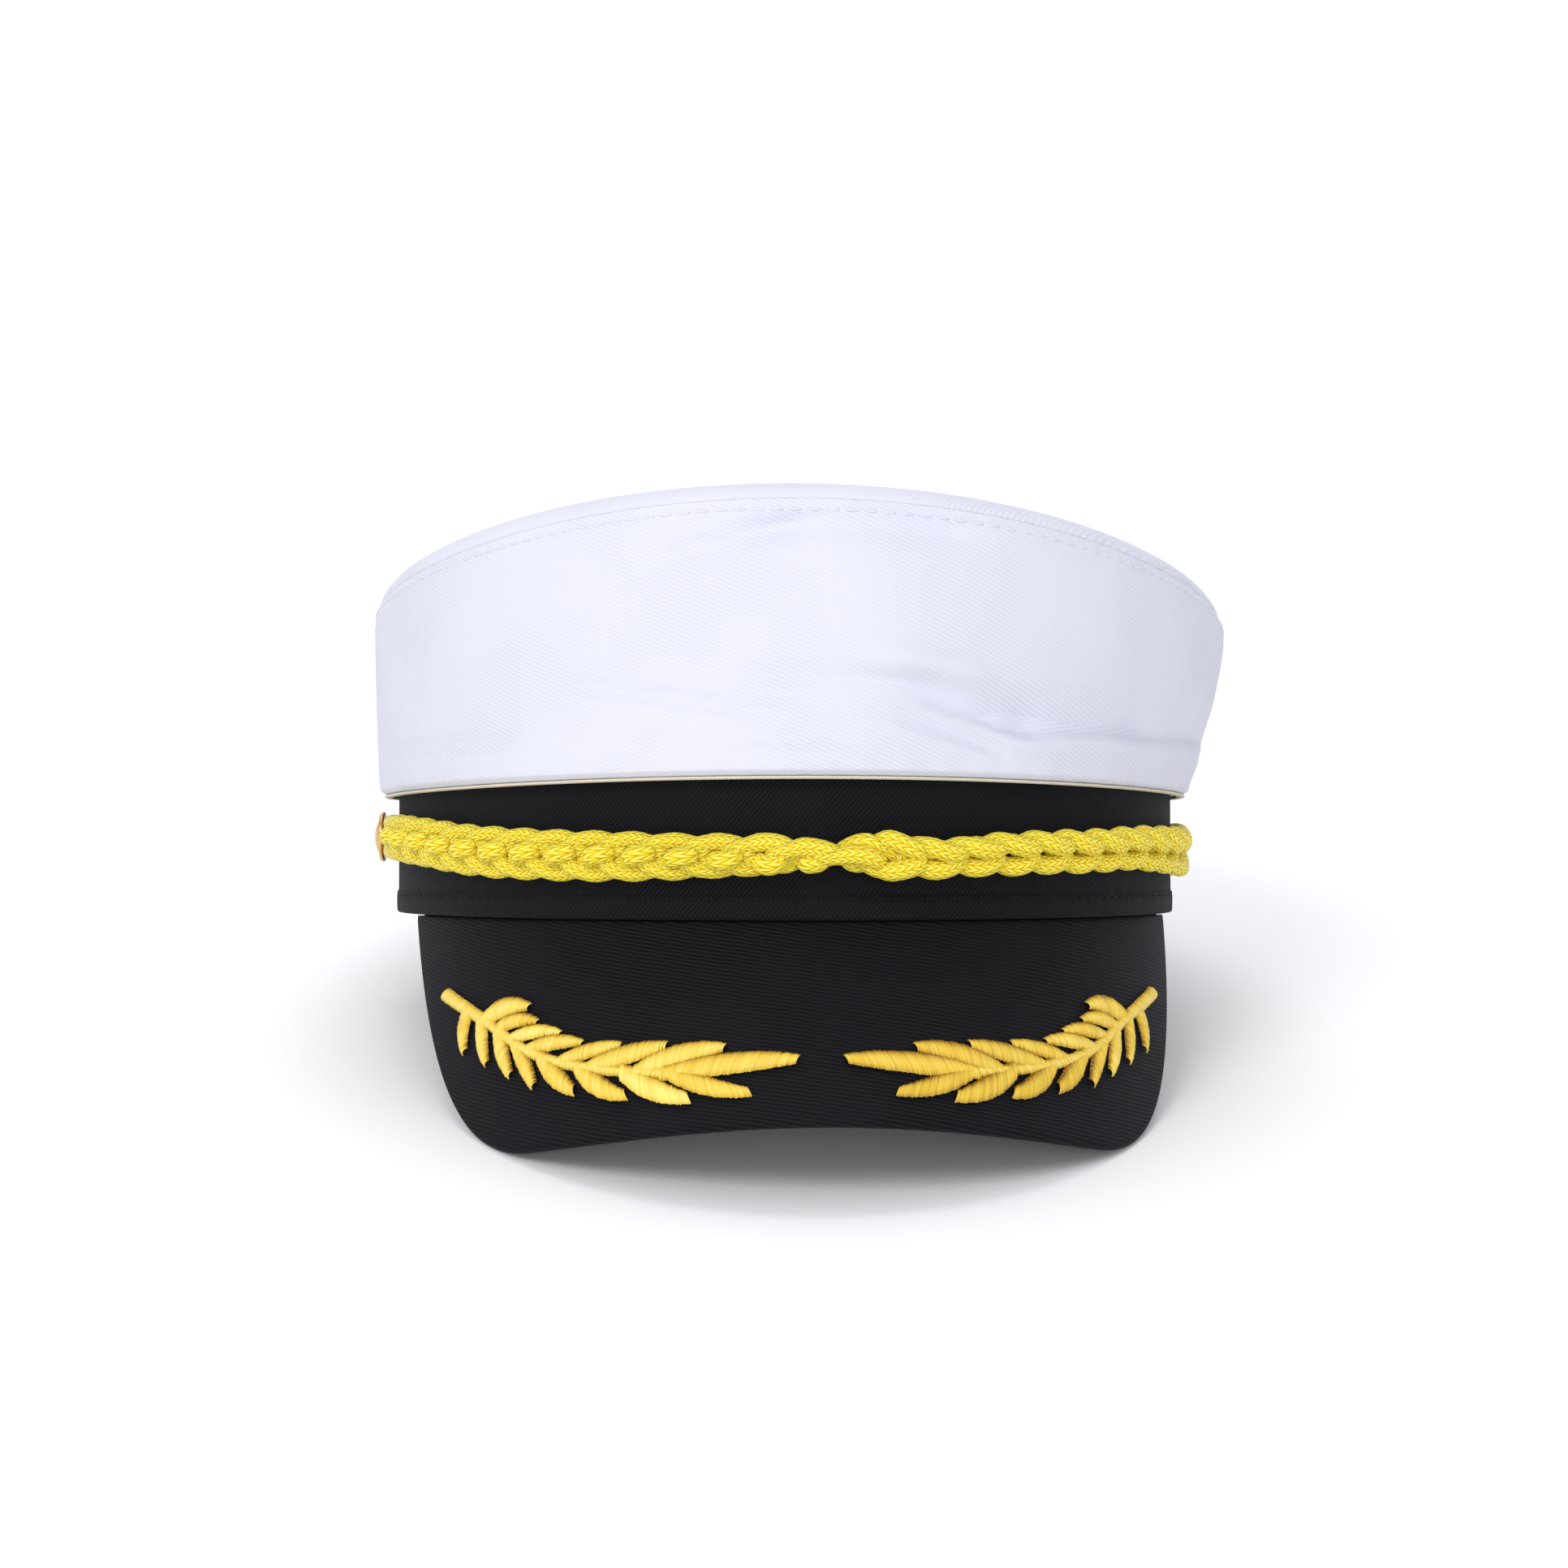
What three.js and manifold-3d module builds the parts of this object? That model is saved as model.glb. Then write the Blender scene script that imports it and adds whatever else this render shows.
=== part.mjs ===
// A captain hat: a white cloth crown with a raised front, a black band, a short sloping black peak with two
// embroidered leaf sprays, and a yellow chain-stitched braid that runs round the front between two gilt buttons.
// Lengths are in millimetres and angles in degrees. The hat is built upright, with the band's lower edge at z = 0
// and its front at -Y. Left and right are as seen from the front, with the right at +X. At the end the hat is
// tilted back, as it rests on a table.
import * as THREE from "three";
import { mergeVertices } from "three/addons/utils/BufferGeometryUtils.js";
import Module from "manifold-3d";

// The gap that is left between two pieces that touch on the real hat.
const seatGap = 0.3;

// The band is an oval ring of black twill. Its lower edge is turned up and stitched as a hem, and its upper edge
// is tucked into the crown.
const bandHalfWidth = 88.5;
const bandHalfLength = 99;
const bandHeight = 28.5;
const bandTuck = 3;
const bandWall = 2.2;
const hemHeight = 4.8;
const hemProud = 0.4;

// The crown's side panel rolls over the band, and flares a little towards the top seam, which tucks it in again.
// Its heights are those of the top seam over the band. It leans to the right, and its left side is lifted a little.
const crownOverhang = 4.4;
const crownRoll = 3.2;
const crownDip = 2.2;
const crownSideFlare = 9;
const crownEndFlare = 8;
const crownFrontHeight = 54;
const crownSideHeight = 36.6;
const crownBackHeight = 38;
const crownLean = 3.4;
const crownLift = 2.6;
const crownTuck = 0.8;
const crownWall = 1.6;

// The top panel puffs up inside its seam, and then runs nearly flat across the head.
const topFrontPuff = 4.6;
const topSidePuff = 8;
const topMiddleHeight = 44;
const topWall = 1.6;

// The peak is a covered board that slopes forwards and down from under the band, and leans a little to the right.
const peakLength = 47;
const peakSideLength = 54;
const peakFrontAngle = 51.5;
const peakSideAngle = 65;
const peakHalfAngle = 69;
const peakEndReach = 2.5;
const peakFlare = 1.5;
const peakLean = 0.8;
const peakWall = 2.4;
const peakInset = 0.8;

// The two leaf sprays are embroidered on the peak. Their stems end near its sides, and their tips meet in the
// middle. The margins are measured over the peak's face, from its end and from its front edge.
const sprayEndMargin = 19.5;
const sprayEdgeMargin = 10.7;
const stemWidth = 2.3;
const leafLength = 12;
const leafWidth = 3.6;
const threadHeight = 0.9;

// The braid is a chain of one knitted cord. It lies below the middle of the band in front, and rises to a button
// on each side. The rises are measured from the middle of the band, between its hem and the crown.
const braidHeight = 11.4;
const braidDepth = 5.6;
const braidEndDepth = 3.2;
const braidPitch = 9;
const braidScallop = 0.8;
const braidFrontRise = -4.3;
const leftButtonRise = 1.5;
const rightButtonRise = -1;
const braidEndWall = 1.5;

// Each button holds an end of the braid, its shank through the end loop and its cap over it.
const buttonAngle = 92;
const buttonRadius = 5.8;
const buttonShankRadius = 1.6;
const buttonRim = 0.9;
const buttonDome = 1.5;

// How deep the cloth is pressed flat where the hat stands on the table.
const restFlat = 0.5;

// Facets round the band and the crown, round a button, and along and round the braid.
const roundFacets = 64;
const buttonFacets = 16;
const lumpSteps = 3;
const braidSides = 8;

const wasm = await Module();
wasm.setup();

const { degToRad, lerp, clamp } = THREE.MathUtils;
const up = new THREE.Vector3(0, 0, 1);

function steps(count) {
  return Array.from({ length: count }, (_, i) => i);
}

// A closed geometry from a list of triangles, with its faces pointing out.
function closedGeometry(triangles) {
  const loose = new THREE.BufferGeometry().setFromPoints(triangles.flat());
  const merged = mergeVertices(loose, 1e-4);
  const corner = (i) => new THREE.Vector3().fromBufferAttribute(merged.attributes.position, i);
  const kept = [];
  let volume = 0;
  for (let i = 0; i < merged.index.count; i += 3) {
    const [a, b, c] = [0, 1, 2].map((k) => merged.index.getX(i + k));
    if (a === b || b === c || c === a) continue;
    kept.push([a, b, c]);
    volume += corner(a).dot(corner(b).cross(corner(c)));
  }
  const facing = volume > 0 ? kept : kept.map(([a, b, c]) => [a, c, b]);
  merged.setIndex(facing.flat());
  return merged;
}

// The triangles between rows of points. The rows, and the points of each row, may close into a ring.
function skin(rows, rowsMeet, pointsMeet) {
  const triangles = [];
  const rowCount = rows.length;
  const pointCount = rows[0].length;
  for (const i of steps(rowsMeet ? rowCount : rowCount - 1)) {
    for (const k of steps(pointsMeet ? pointCount : pointCount - 1)) {
      const [a, b] = [rows[i][k], rows[i][(k + 1) % pointCount]];
      const [d, c] = [rows[(i + 1) % rowCount][k], rows[(i + 1) % rowCount][(k + 1) % pointCount]];
      triangles.push([a, b, c], [a, c, d]);
    }
  }
  return triangles;
}

// A fan that closes a ring of points round their middle.
function fan(ring, turned) {
  const middle = ring.reduce((sum, p) => sum.add(p), new THREE.Vector3()).divideScalar(ring.length);
  return ring.map((p, k) => {
    const next = ring[(k + 1) % ring.length];
    return turned ? [middle, next, p] : [middle, p, next];
  });
}

// A tube through closed sections, with both ends closed.
function cappedTube(sections) {
  return closedGeometry([
    ...skin(sections, false, true),
    ...fan(sections[0], true),
    ...fan(sections.at(-1), false),
  ]);
}

// A ring right round the head, from the closed section at each angle.
function headRing(sectionAt) {
  const sections = steps(roundFacets).map((i) => sectionAt((i * 2 * Math.PI) / roundFacets));
  return closedGeometry(skin(sections, true, true));
}

function toManifold(geometry) {
  const positions = new THREE.BufferGeometry().setAttribute("position", geometry.getAttribute("position"));
  positions.setIndex(geometry.index);
  const merged = mergeVertices(positions, 1e-4);
  return new wasm.Manifold(
    new wasm.Mesh({
      numProp: 3,
      vertProperties: merged.attributes.position.array,
      triVerts: new Uint32Array(merged.index.array),
    }),
  );
}

function fromManifold(solid) {
  const mesh = solid.getMesh();
  const geometry = new THREE.BufferGeometry();
  geometry.setAttribute("position", new THREE.Float32BufferAttribute(mesh.vertProperties, 3));
  geometry.setIndex([...mesh.triVerts]);
  return geometry;
}

// The outward direction of the band's oval. Angle 0 is the front, and a quarter turn the right side.
function ovalNormal(angle) {
  return new THREE.Vector3(Math.sin(angle) / bandHalfWidth, -Math.cos(angle) / bandHalfLength, 0).normalize();
}

// A point at this angle, moved outwards from the band's outer face.
function ovalPoint(angle, offset, z) {
  const onOval = new THREE.Vector3(bandHalfWidth * Math.sin(angle), -bandHalfLength * Math.cos(angle), z);
  return onOval.addScaledVector(ovalNormal(angle), offset);
}

// The inner side of a wall, from its outer points at one angle, bottom to top.
function innerSide(outer, angle, wall) {
  const out = ovalNormal(angle);
  return outer.map((p, i) => {
    const along = outer[Math.min(i + 1, outer.length - 1)].clone().sub(outer[Math.max(i - 1, 0)]);
    const [sideways, rise] = [along.dot(out), along.z];
    const length = Math.hypot(sideways, rise);
    return p.clone().addScaledVector(out, (-wall * rise) / length).addScaledVector(up, (wall * sideways) / length);
  });
}

// The hem on the outside of the band, as shares of how far it stands proud and of its height.
const hemRows = [
  { proud: 0.3, rise: 0 },
  { proud: 1, rise: 0.12 },
  { proud: 1, rise: 0.83 },
  { proud: 0, rise: 1 },
];
const bandRing = headRing((angle) => [
  ...hemRows.map(({ proud, rise }) => ovalPoint(angle, proud * hemProud, rise * hemHeight)),
  ovalPoint(angle, 0, bandHeight + bandTuck),
  ovalPoint(angle, -bandWall, bandHeight + bandTuck),
  ovalPoint(angle, -bandWall, 0),
]);

// The crown's lower edge dips at the sides of the head.
function seamHeight(angle) {
  return bandHeight - crownDip * Math.sin(angle) ** 2;
}

// How high the top seam lies. The front is raised, and the sides and the back are low.
const frontRiseShape = 1.6;
function topSeamHeight(angle) {
  const forwards = Math.cos(angle);
  const endHeight = forwards > 0 ? crownFrontHeight : crownBackHeight;
  const height = lerp(crownSideHeight, endHeight, Math.abs(forwards) ** frontRiseShape);
  return bandHeight + height - crownLift * Math.sin(angle);
}

// The widest outline of the crown.
function widestPoint(angle) {
  const x = crownLean + (bandHalfWidth + crownSideFlare) * Math.sin(angle);
  return new THREE.Vector3(x, -(bandHalfLength + crownEndFlare) * Math.cos(angle), 0);
}

// The rolled lower edge of the crown, as shares of the overhang and of the roll's height.
const rollRows = [
  { out: 0.03, rise: 0.1 },
  { out: 0.42, rise: 0 },
  { out: 0.85, rise: 0.26 },
  { out: 1, rise: 1 },
];

// The side panel above the roll, as shares of its height, of the way out to the widest outline and of the tuck.
const sideRows = [
  { rise: 0.28, spread: 0.38, tucked: 0 },
  { rise: 0.55, spread: 0.7, tucked: 0 },
  { rise: 0.8, spread: 0.92, tucked: 0 },
  { rise: 0.92, spread: 1, tucked: 0.25 },
  { rise: 1, spread: 1, tucked: 1 },
];

function crownSideOuter(angle) {
  const rolled = rollRows.map(({ out, rise }) =>
    ovalPoint(angle, lerp(seatGap, crownOverhang, out), seamHeight(angle) + rise * crownRoll),
  );
  const raised = sideRows.map(({ rise, spread, tucked }) => {
    const p = ovalPoint(angle, crownOverhang, 0).lerp(widestPoint(angle), spread);
    p.addScaledVector(ovalNormal(angle), -tucked * crownTuck);
    return p.setZ(lerp(seamHeight(angle) + crownRoll, topSeamHeight(angle), rise));
  });
  return [...rolled, ...raised];
}

const crownSide = headRing((angle) => {
  const outer = crownSideOuter(angle);
  return [...outer, ...innerSide(outer, angle, crownWall).reverse()];
});

// The top panel from its seam to the middle, as shares of the way in and of the puff.
const topRows = [
  { inwards: 0, puff: 0 },
  { inwards: 0.012, puff: 0.35 },
  { inwards: 0.04, puff: 0.68 },
  { inwards: 0.09, puff: 0.94 },
  { inwards: 0.22, puff: 1 },
  { inwards: 0.6, puff: 0.94 },
  { inwards: 1, puff: 0.9 },
];
const topFallShape = 1.3;

function crownTopOuter(angle) {
  const seam = crownSideOuter(angle).at(-1);
  const middle = new THREE.Vector3(crownLean, 0, bandHeight + topMiddleHeight);
  const edgePuff = lerp(topSidePuff, topFrontPuff, Math.cos(angle) ** 2);
  return topRows.map(({ inwards, puff }) => {
    const height = lerp(seam.z, middle.z, inwards ** topFallShape);
    const raised = seatGap + puff * lerp(edgePuff, topFrontPuff, inwards);
    return seam.clone().lerp(middle, inwards).setZ(height + raised);
  });
}

// The inner side starts level with the seam, and meets itself under the middle.
function crownTopSection(angle) {
  const outer = crownTopOuter(angle);
  const inner = innerSide(outer, angle, topWall);
  inner[0].z = outer[0].z;
  inner[inner.length - 1] = outer.at(-1).clone().addScaledVector(up, -topWall);
  return [...outer.reverse(), ...inner];
}
const topSections = steps(roundFacets).map((i) => crownTopSection((i * 2 * Math.PI) / roundFacets));
const crownTop = closedGeometry(skin(topSections, true, false));

// The peak is a bent board. Across runs from -1 to 1 between its ends, along is the distance down from the band,
// and lift is the distance out of its upper face. Its sides hang more steeply than its front.
const peakEnd = degToRad(peakHalfAngle);

function sideShare(across) {
  return Math.sin((across * Math.PI) / 2) ** 2;
}

function peakFace(across, along) {
  const slope = degToRad(lerp(peakFrontAngle, peakSideAngle, sideShare(across)));
  const p = ovalPoint(across * peakEnd, -peakInset, -seatGap);
  p.x += (peakFlare * across + peakLean) * (along / peakLength);
  p.y -= along * Math.cos(slope);
  p.z -= along * Math.sin(slope);
  return p;
}

function peakPoint(across, along, lift) {
  const step = 1e-3;
  const sideways = peakFace(across + step, along).sub(peakFace(across - step, along));
  const downwards = peakFace(across, along + step).sub(peakFace(across, along - step));
  const normal = downwards.cross(sideways).normalize();
  return peakFace(across, along).addScaledVector(normal, lift);
}

// How far the peak reaches at this place across. From its corners it narrows in a long curve to its ends.
const cornerShare = 0.57;
const cornerShape = 2.3;
function peakReach(across) {
  const fullReach = lerp(peakLength, peakSideLength, sideShare(across));
  const pastCorner = clamp((Math.abs(across) - cornerShare) / (1 - cornerShare), 0, 1);
  return lerp(fullReach, peakEndReach, pastCorner ** cornerShape);
}

// The board's sections stand closer together towards its ends. Its under face starts level with its root.
const peakColumns = 44;
const peakRowCount = 6;
const columnTurn = degToRad(77);

function peakSection(i) {
  const across = Math.sin(lerp(-columnTurn, columnTurn, i / peakColumns)) / Math.sin(columnTurn);
  const face = (lift) =>
    steps(peakRowCount + 1).map((k) => peakPoint(across, (peakReach(across) * k) / peakRowCount, lift));
  const under = face(-peakWall);
  const down = under[1].clone().sub(under[0]).normalize();
  under[0].addScaledVector(down, (-seatGap - under[0].z) / down.z);
  return { upper: face(0), under };
}
const peakSections = steps(peakColumns + 1).map(peakSection);
const { upper: leftUpper, under: leftUnder } = peakSections[0];
const { upper: rightUpper, under: rightUnder } = peakSections.at(-1);
const peakBoard = closedGeometry([
  ...skin(peakSections.map(({ upper, under }) => [...upper, ...under.toReversed()]), false, true),
  ...skin([leftUnder, leftUpper], false, false),
  ...skin([rightUpper, rightUnder], false, false),
]);

// The length of the peak's root, from its middle to one end.
const rootSteps = 40;
const peakHalfArc = steps(rootSteps).reduce((sum, i) => {
  return sum + peakFace(i / rootSteps, 0).distanceTo(peakFace((i + 1) / rootSteps, 0));
}, 0);

// A raised strip of embroidery: a closed solid that follows a route over the peak's face. Each place on the route
// is a Vector2, its distance from the middle and its distance down from the band.
const threadSection = [
  { aside: -1, raised: 0 },
  { aside: -0.6, raised: 1 },
  { aside: 0.6, raised: 1 },
  { aside: 1, raised: 0 },
];
function strip(route, halfWidths, side) {
  const sections = route.map((place, i) => {
    const ahead = route[Math.min(i + 1, route.length - 1)].clone().sub(route[Math.max(i - 1, 0)]).normalize();
    const sideways = new THREE.Vector2(-ahead.y, ahead.x);
    return threadSection.map(({ aside, raised }) => {
      const { x, y } = place.clone().addScaledVector(sideways, aside * halfWidths[i]);
      return peakPoint((side * x) / peakHalfArc, y, seatGap + raised * threadHeight);
    });
  });
  return cappedTube(sections);
}

// The stem's route, as shares of the way out to its outer end and of the way down to its inner end.
const stemRoute = [
  { outwards: 1, down: 0.545 },
  { outwards: 0.79, down: 0.73 },
  { outwards: 0.56, down: 0.94 },
  { outwards: 0.33, down: 1 },
];
const stemReach = new THREE.Vector2(peakHalfArc - sprayEndMargin, peakLength - sprayEdgeMargin);
const stemCurve = new THREE.SplineCurve(
  stemRoute.map(({ outwards, down }) => new THREE.Vector2(outwards, down).multiply(stemReach)),
);

// The leaves of both rows. Each grows at a share of the way along the stem, and heads to the middle of the peak,
// turned down by this many degrees. Its length and width are shares of the plain leaf's.
const upperLeaves = [
  { at: 0.25, turn: -6, long: 1.13, wide: 1.1 },
  { at: 0.32, turn: 3, long: 1, wide: 0.85 },
  { at: 0.4, turn: 0, long: 1.18, wide: 0.85 },
  { at: 0.49, turn: 2, long: 1.2, wide: 0.85 },
  { at: 0.6, turn: -7, long: 1.35, wide: 0.9 },
  { at: 0.72, turn: -11, long: 1.55, wide: 1 },
  { at: 0.87, turn: -10, long: 1.73, wide: 1.1 },
  { at: 0.98, turn: -4, long: 2.25, wide: 1 },
];
const lowerLeaves = [
  { at: 0.17, turn: 98, long: 0.95, wide: 0.8 },
  { at: 0.26, turn: 84, long: 1, wide: 0.85 },
  { at: 0.34, turn: 69, long: 0.96, wide: 0.9 },
  { at: 0.44, turn: 63, long: 0.93, wide: 0.95 },
  { at: 0.55, turn: 45, long: 0.96, wide: 1 },
  { at: 0.7, turn: 30, long: 1.04, wide: 1.1 },
  { at: 0.87, turn: 25, long: 1.23, wide: 1.1 },
  { at: 1, turn: 20, long: 1.42, wide: 1 },
];

// A leaf's half width along its length, as shares of its widest.
const leafShape = [
  { along: 0, half: 0.3 },
  { along: 0.3, half: 0.8 },
  { along: 0.62, half: 1 },
  { along: 0.88, half: 0.6 },
  { along: 1, half: 0.06 },
];

function leaf({ at, turn, long, wide }, side) {
  const base = stemCurve.getPoint(at);
  const towards = new THREE.Vector2(-Math.cos(degToRad(turn)), Math.sin(degToRad(turn)));
  const route = leafShape.map(({ along }) => base.clone().addScaledVector(towards, along * long * leafLength));
  return strip(route, leafShape.map(({ half }) => (half * wide * leafWidth) / 2), side);
}

const stemPieces = 9;
function spray(side) {
  const stemPlaces = stemCurve.getPoints(stemPieces);
  const stem = strip(stemPlaces, stemPlaces.map(() => stemWidth / 2), side);
  const leaves = [...upperLeaves, ...lowerLeaves].map((row) => toManifold(leaf(row, side)));
  return fromManifold(leaves.reduce((solid, next) => solid.add(next), toManifold(stem)));
}

// The braid's middle line. Its rise from the middle of the band grows with the square of the way to the button.
const braidEnd = degToRad(buttonAngle);
function braidMiddle(angle) {
  const endRise = angle < 0 ? leftButtonRise : rightButtonRise;
  return (hemHeight + seamHeight(angle)) / 2 + lerp(braidFrontRise, endRise, (angle / braidEnd) ** 2);
}

// The braid goes on a little past each button. It lies flat under the button's cap, and has full depth one lump
// further on.
const braidPastButton = buttonShankRadius + seatGap + braidEndWall;
const braidTip = braidEnd + braidPastButton / bandHalfLength;
const braidLength = 2 * braidTip * bandHalfLength;
const braidLumps = Math.round(braidLength / braidPitch);
const braidFlatEnd = braidPastButton + buttonRadius + seatGap;
const tipShare = 0.5;

function braidSection(i) {
  const lump = i / lumpSteps;
  const angle = lerp(-braidTip, braidTip, lump / braidLumps);
  const fromTip = (Math.min(lump, braidLumps - lump) * braidLength) / braidLumps;
  const full = clamp((fromTip - braidFlatEnd) / braidPitch, 0, 1);
  const rounding = clamp(fromTip / (tipShare * braidHeight), 0.15, 1);
  const waist = braidScallop * (0.5 - Math.abs(Math.sin(lump * Math.PI)));
  const halfDepth = lerp(braidEndDepth, braidDepth, full) / 2;
  const halfHeight = (braidHeight / 2 - waist * full) * Math.sqrt(1 - (1 - rounding) ** 2);
  return steps(braidSides).map((k) => {
    const turn = ((k + 0.5) * 2 * Math.PI) / braidSides;
    const out = seatGap + halfDepth * (1 + Math.cos(turn));
    return ovalPoint(angle, out, braidMiddle(angle) + halfHeight * Math.sin(turn));
  });
}
const braidTube = cappedTube(steps(braidLumps * lumpSteps + 1).map(braidSection));

// A button stands upright on the band: its own Y axis points outwards.
const capHeight = braidEndDepth + seatGap;
const capShape = [
  { share: 0.95, rise: 0 },
  { share: 1, rise: 0.35 },
  { share: 1, rise: 1 },
];
const domeShape = [
  { share: 0.8, rise: 0.55 },
  { share: 0.45, rise: 0.9 },
  { share: 0, rise: 1 },
];
const buttonProfile = [
  new THREE.Vector2(0, 0),
  new THREE.Vector2(buttonShankRadius, 0),
  new THREE.Vector2(buttonShankRadius, capHeight),
  ...capShape.map(({ share, rise }) => new THREE.Vector2(share * buttonRadius, capHeight + rise * buttonRim)),
  ...domeShape.map(
    ({ share, rise }) => new THREE.Vector2(share * buttonRadius, capHeight + buttonRim + rise * buttonDome),
  ),
];

function buttonSeat(angle) {
  return {
    place: ovalPoint(angle, seatGap, braidMiddle(angle)),
    turn: new THREE.Quaternion().setFromUnitVectors(new THREE.Vector3(0, 1, 0), ovalNormal(angle)),
  };
}
const leftSeat = buttonSeat(-braidEnd);
const rightSeat = buttonSeat(braidEnd);

function shankHole({ place, turn }) {
  const radius = buttonShankRadius + seatGap;
  const hole = new THREE.CylinderGeometry(radius, radius, 4 * braidDepth, buttonFacets);
  return toManifold(hole.applyQuaternion(turn).translate(place.x, place.y, place.z));
}
const braidChain = fromManifold(
  toManifold(braidTube).subtract(shankHole(leftSeat)).subtract(shankHole(rightSeat)),
);

// The table that the hat rests on. It touches the back of the band and the two corners of the peak.
const restBack = new THREE.Vector3(0, bandHalfLength + hemRows[0].proud * hemProud, 0);
const peakPositions = peakBoard.getAttribute("position");
const restTilt = steps(peakPositions.count).reduce((steepest, i) => {
  const p = new THREE.Vector3().fromBufferAttribute(peakPositions, i);
  return Math.max(steepest, Math.atan2(-p.z, restBack.y - p.y));
}, 0);
const tableDepth = bandHalfLength;
const table = new THREE.BoxGeometry(8 * bandHalfWidth, 8 * bandHalfLength, tableDepth)
  .translate(0, 0, restFlat - tableDepth / 2)
  .rotateX(restTilt)
  .translate(restBack.x, restBack.y, restBack.z);

function flattened(geometry) {
  return fromManifold(toManifold(geometry).subtract(toManifold(table)));
}

const materials = {
  white: new THREE.MeshStandardMaterial({ color: 0xf0f0f8, roughness: 0.85, metalness: 0 }),
  black: new THREE.MeshStandardMaterial({ color: 0x17171b, roughness: 0.8, metalness: 0 }),
  yellow: new THREE.MeshStandardMaterial({ color: 0xf2d21c, roughness: 0.6, metalness: 0 }),
  gold: new THREE.MeshStandardMaterial({ color: 0xe8b93a, roughness: 0.5, metalness: 0 }),
  gilt: new THREE.MeshStandardMaterial({ color: 0xd9a066, roughness: 0.35, metalness: 0.9 }),
};

function piece(name, geometry, material) {
  const mesh = new THREE.Mesh(geometry, material);
  mesh.name = name;
  return mesh;
}

function button(name, { place, turn }) {
  const mesh = piece(name, new THREE.LatheGeometry(buttonProfile, buttonFacets), materials.gilt);
  mesh.position.copy(place);
  mesh.quaternion.copy(turn);
  return mesh;
}

const upright = new THREE.Group();
upright.add(
  piece("crown_side", crownSide, materials.white),
  piece("crown_top", crownTop, materials.white),
  piece("band", flattened(bandRing), materials.black),
  piece("peak", flattened(peakBoard), materials.black),
  piece("braid", braidChain, materials.yellow),
  piece("spray_left", spray(-1), materials.gold),
  piece("spray_right", spray(1), materials.gold),
  button("button_left", leftSeat),
  button("button_right", rightSeat),
);
upright.rotation.x = -restTilt;

// The origin is on the table, under the middle of the hat.
const hat = new THREE.Group();
hat.add(upright);
hat.updateMatrixWorld(true);
const extent = new THREE.Box3().setFromObject(hat, true);
const middle = extent.getCenter(new THREE.Vector3());
upright.position.set(-middle.x, -middle.y, -extent.min.z);

export default hat;
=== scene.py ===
# A captain hat: a white cloth crown over a black band, a black cloth peak with two embroidered leaf sprays,
# and a yellow chain-stitched braid between two gilt buttons. Each section makes one piece, in the order in
# which the hat is put together. Sizes are in millimetres and degrees on the upright hat, with the band's
# lower edge at z = 0 and the front at -Y. Left and right are as seen from the front.
import math

import bpy
import numpy as np
from mathutils import Matrix, Vector


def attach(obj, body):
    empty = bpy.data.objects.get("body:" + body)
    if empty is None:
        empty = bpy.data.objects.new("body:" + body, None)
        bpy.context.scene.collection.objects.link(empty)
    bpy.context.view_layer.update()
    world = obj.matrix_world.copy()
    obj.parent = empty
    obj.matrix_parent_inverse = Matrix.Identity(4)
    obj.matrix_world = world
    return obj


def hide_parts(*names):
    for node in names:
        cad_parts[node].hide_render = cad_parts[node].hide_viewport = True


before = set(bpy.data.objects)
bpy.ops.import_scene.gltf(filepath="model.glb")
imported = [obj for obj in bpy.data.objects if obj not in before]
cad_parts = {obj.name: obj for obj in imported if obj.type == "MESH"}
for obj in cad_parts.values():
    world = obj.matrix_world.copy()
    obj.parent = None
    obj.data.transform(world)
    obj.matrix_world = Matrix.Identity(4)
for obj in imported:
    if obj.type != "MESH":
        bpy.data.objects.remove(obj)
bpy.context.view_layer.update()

# The band
# It is an oval ring of black twill, stiffened inside its fold. Its lower edge is turned up and stitched as
# a hem, and its upper edge is tucked into the crown.
mm = 0.001
band_half_width = 88.5
band_half_length = 99
band_height = 28.5
band_tuck = 3
band_wall = 2.2
hem_height = 4.8
hem_proud = 0.4
hem_stitch_height = 4.1
band_columns = 360

# The hat rests tilted back on the table, on the back of the band and the corners of the peak.
rest_tilt = math.radians(13.524)
rest_place = np.array([-3.028, 6.86, 22.679])


def tilt_back(points):
    """Points or directions of the upright hat, turned as it rests."""
    x, y, z = np.moveaxis(np.asarray(points, float), -1, 0)
    cosine = math.cos(rest_tilt)
    sine = math.sin(rest_tilt)
    return np.stack([x, y * cosine + z * sine, z * cosine - y * sine], -1)


def at_rest(points):
    """Places on the upright hat, in millimetres, as places in the frame, in metres, none below the table."""
    placed = (tilt_back(points) + rest_place) * mm
    placed[..., 2] = np.maximum(placed[..., 2], 0)
    return placed


def mixed(start, end, share):
    return start + (end - start) * share


def oval_normal(angle):
    """The outward direction of the band's oval. Angle 0 is the front, and a quarter turn the right side."""
    across = np.sin(angle) / band_half_width
    forwards = -np.cos(angle) / band_half_length
    length = np.hypot(across, forwards)
    return np.stack([across / length, forwards / length, np.zeros_like(length)], -1)


def oval_point(angle, out, z):
    """A point at this angle, moved outwards from the band's outer face."""
    angle, out, z = np.broadcast_arrays(angle, out, z)
    x = band_half_width * np.sin(angle)
    y = -band_half_length * np.cos(angle)
    return np.stack([x, y, z], -1) + oval_normal(angle) * out[..., None]


def new_object(name, data):
    """A new object in the scene."""
    made = bpy.data.objects.new(name, data)
    bpy.context.scene.collection.objects.link(made)
    return made


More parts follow.
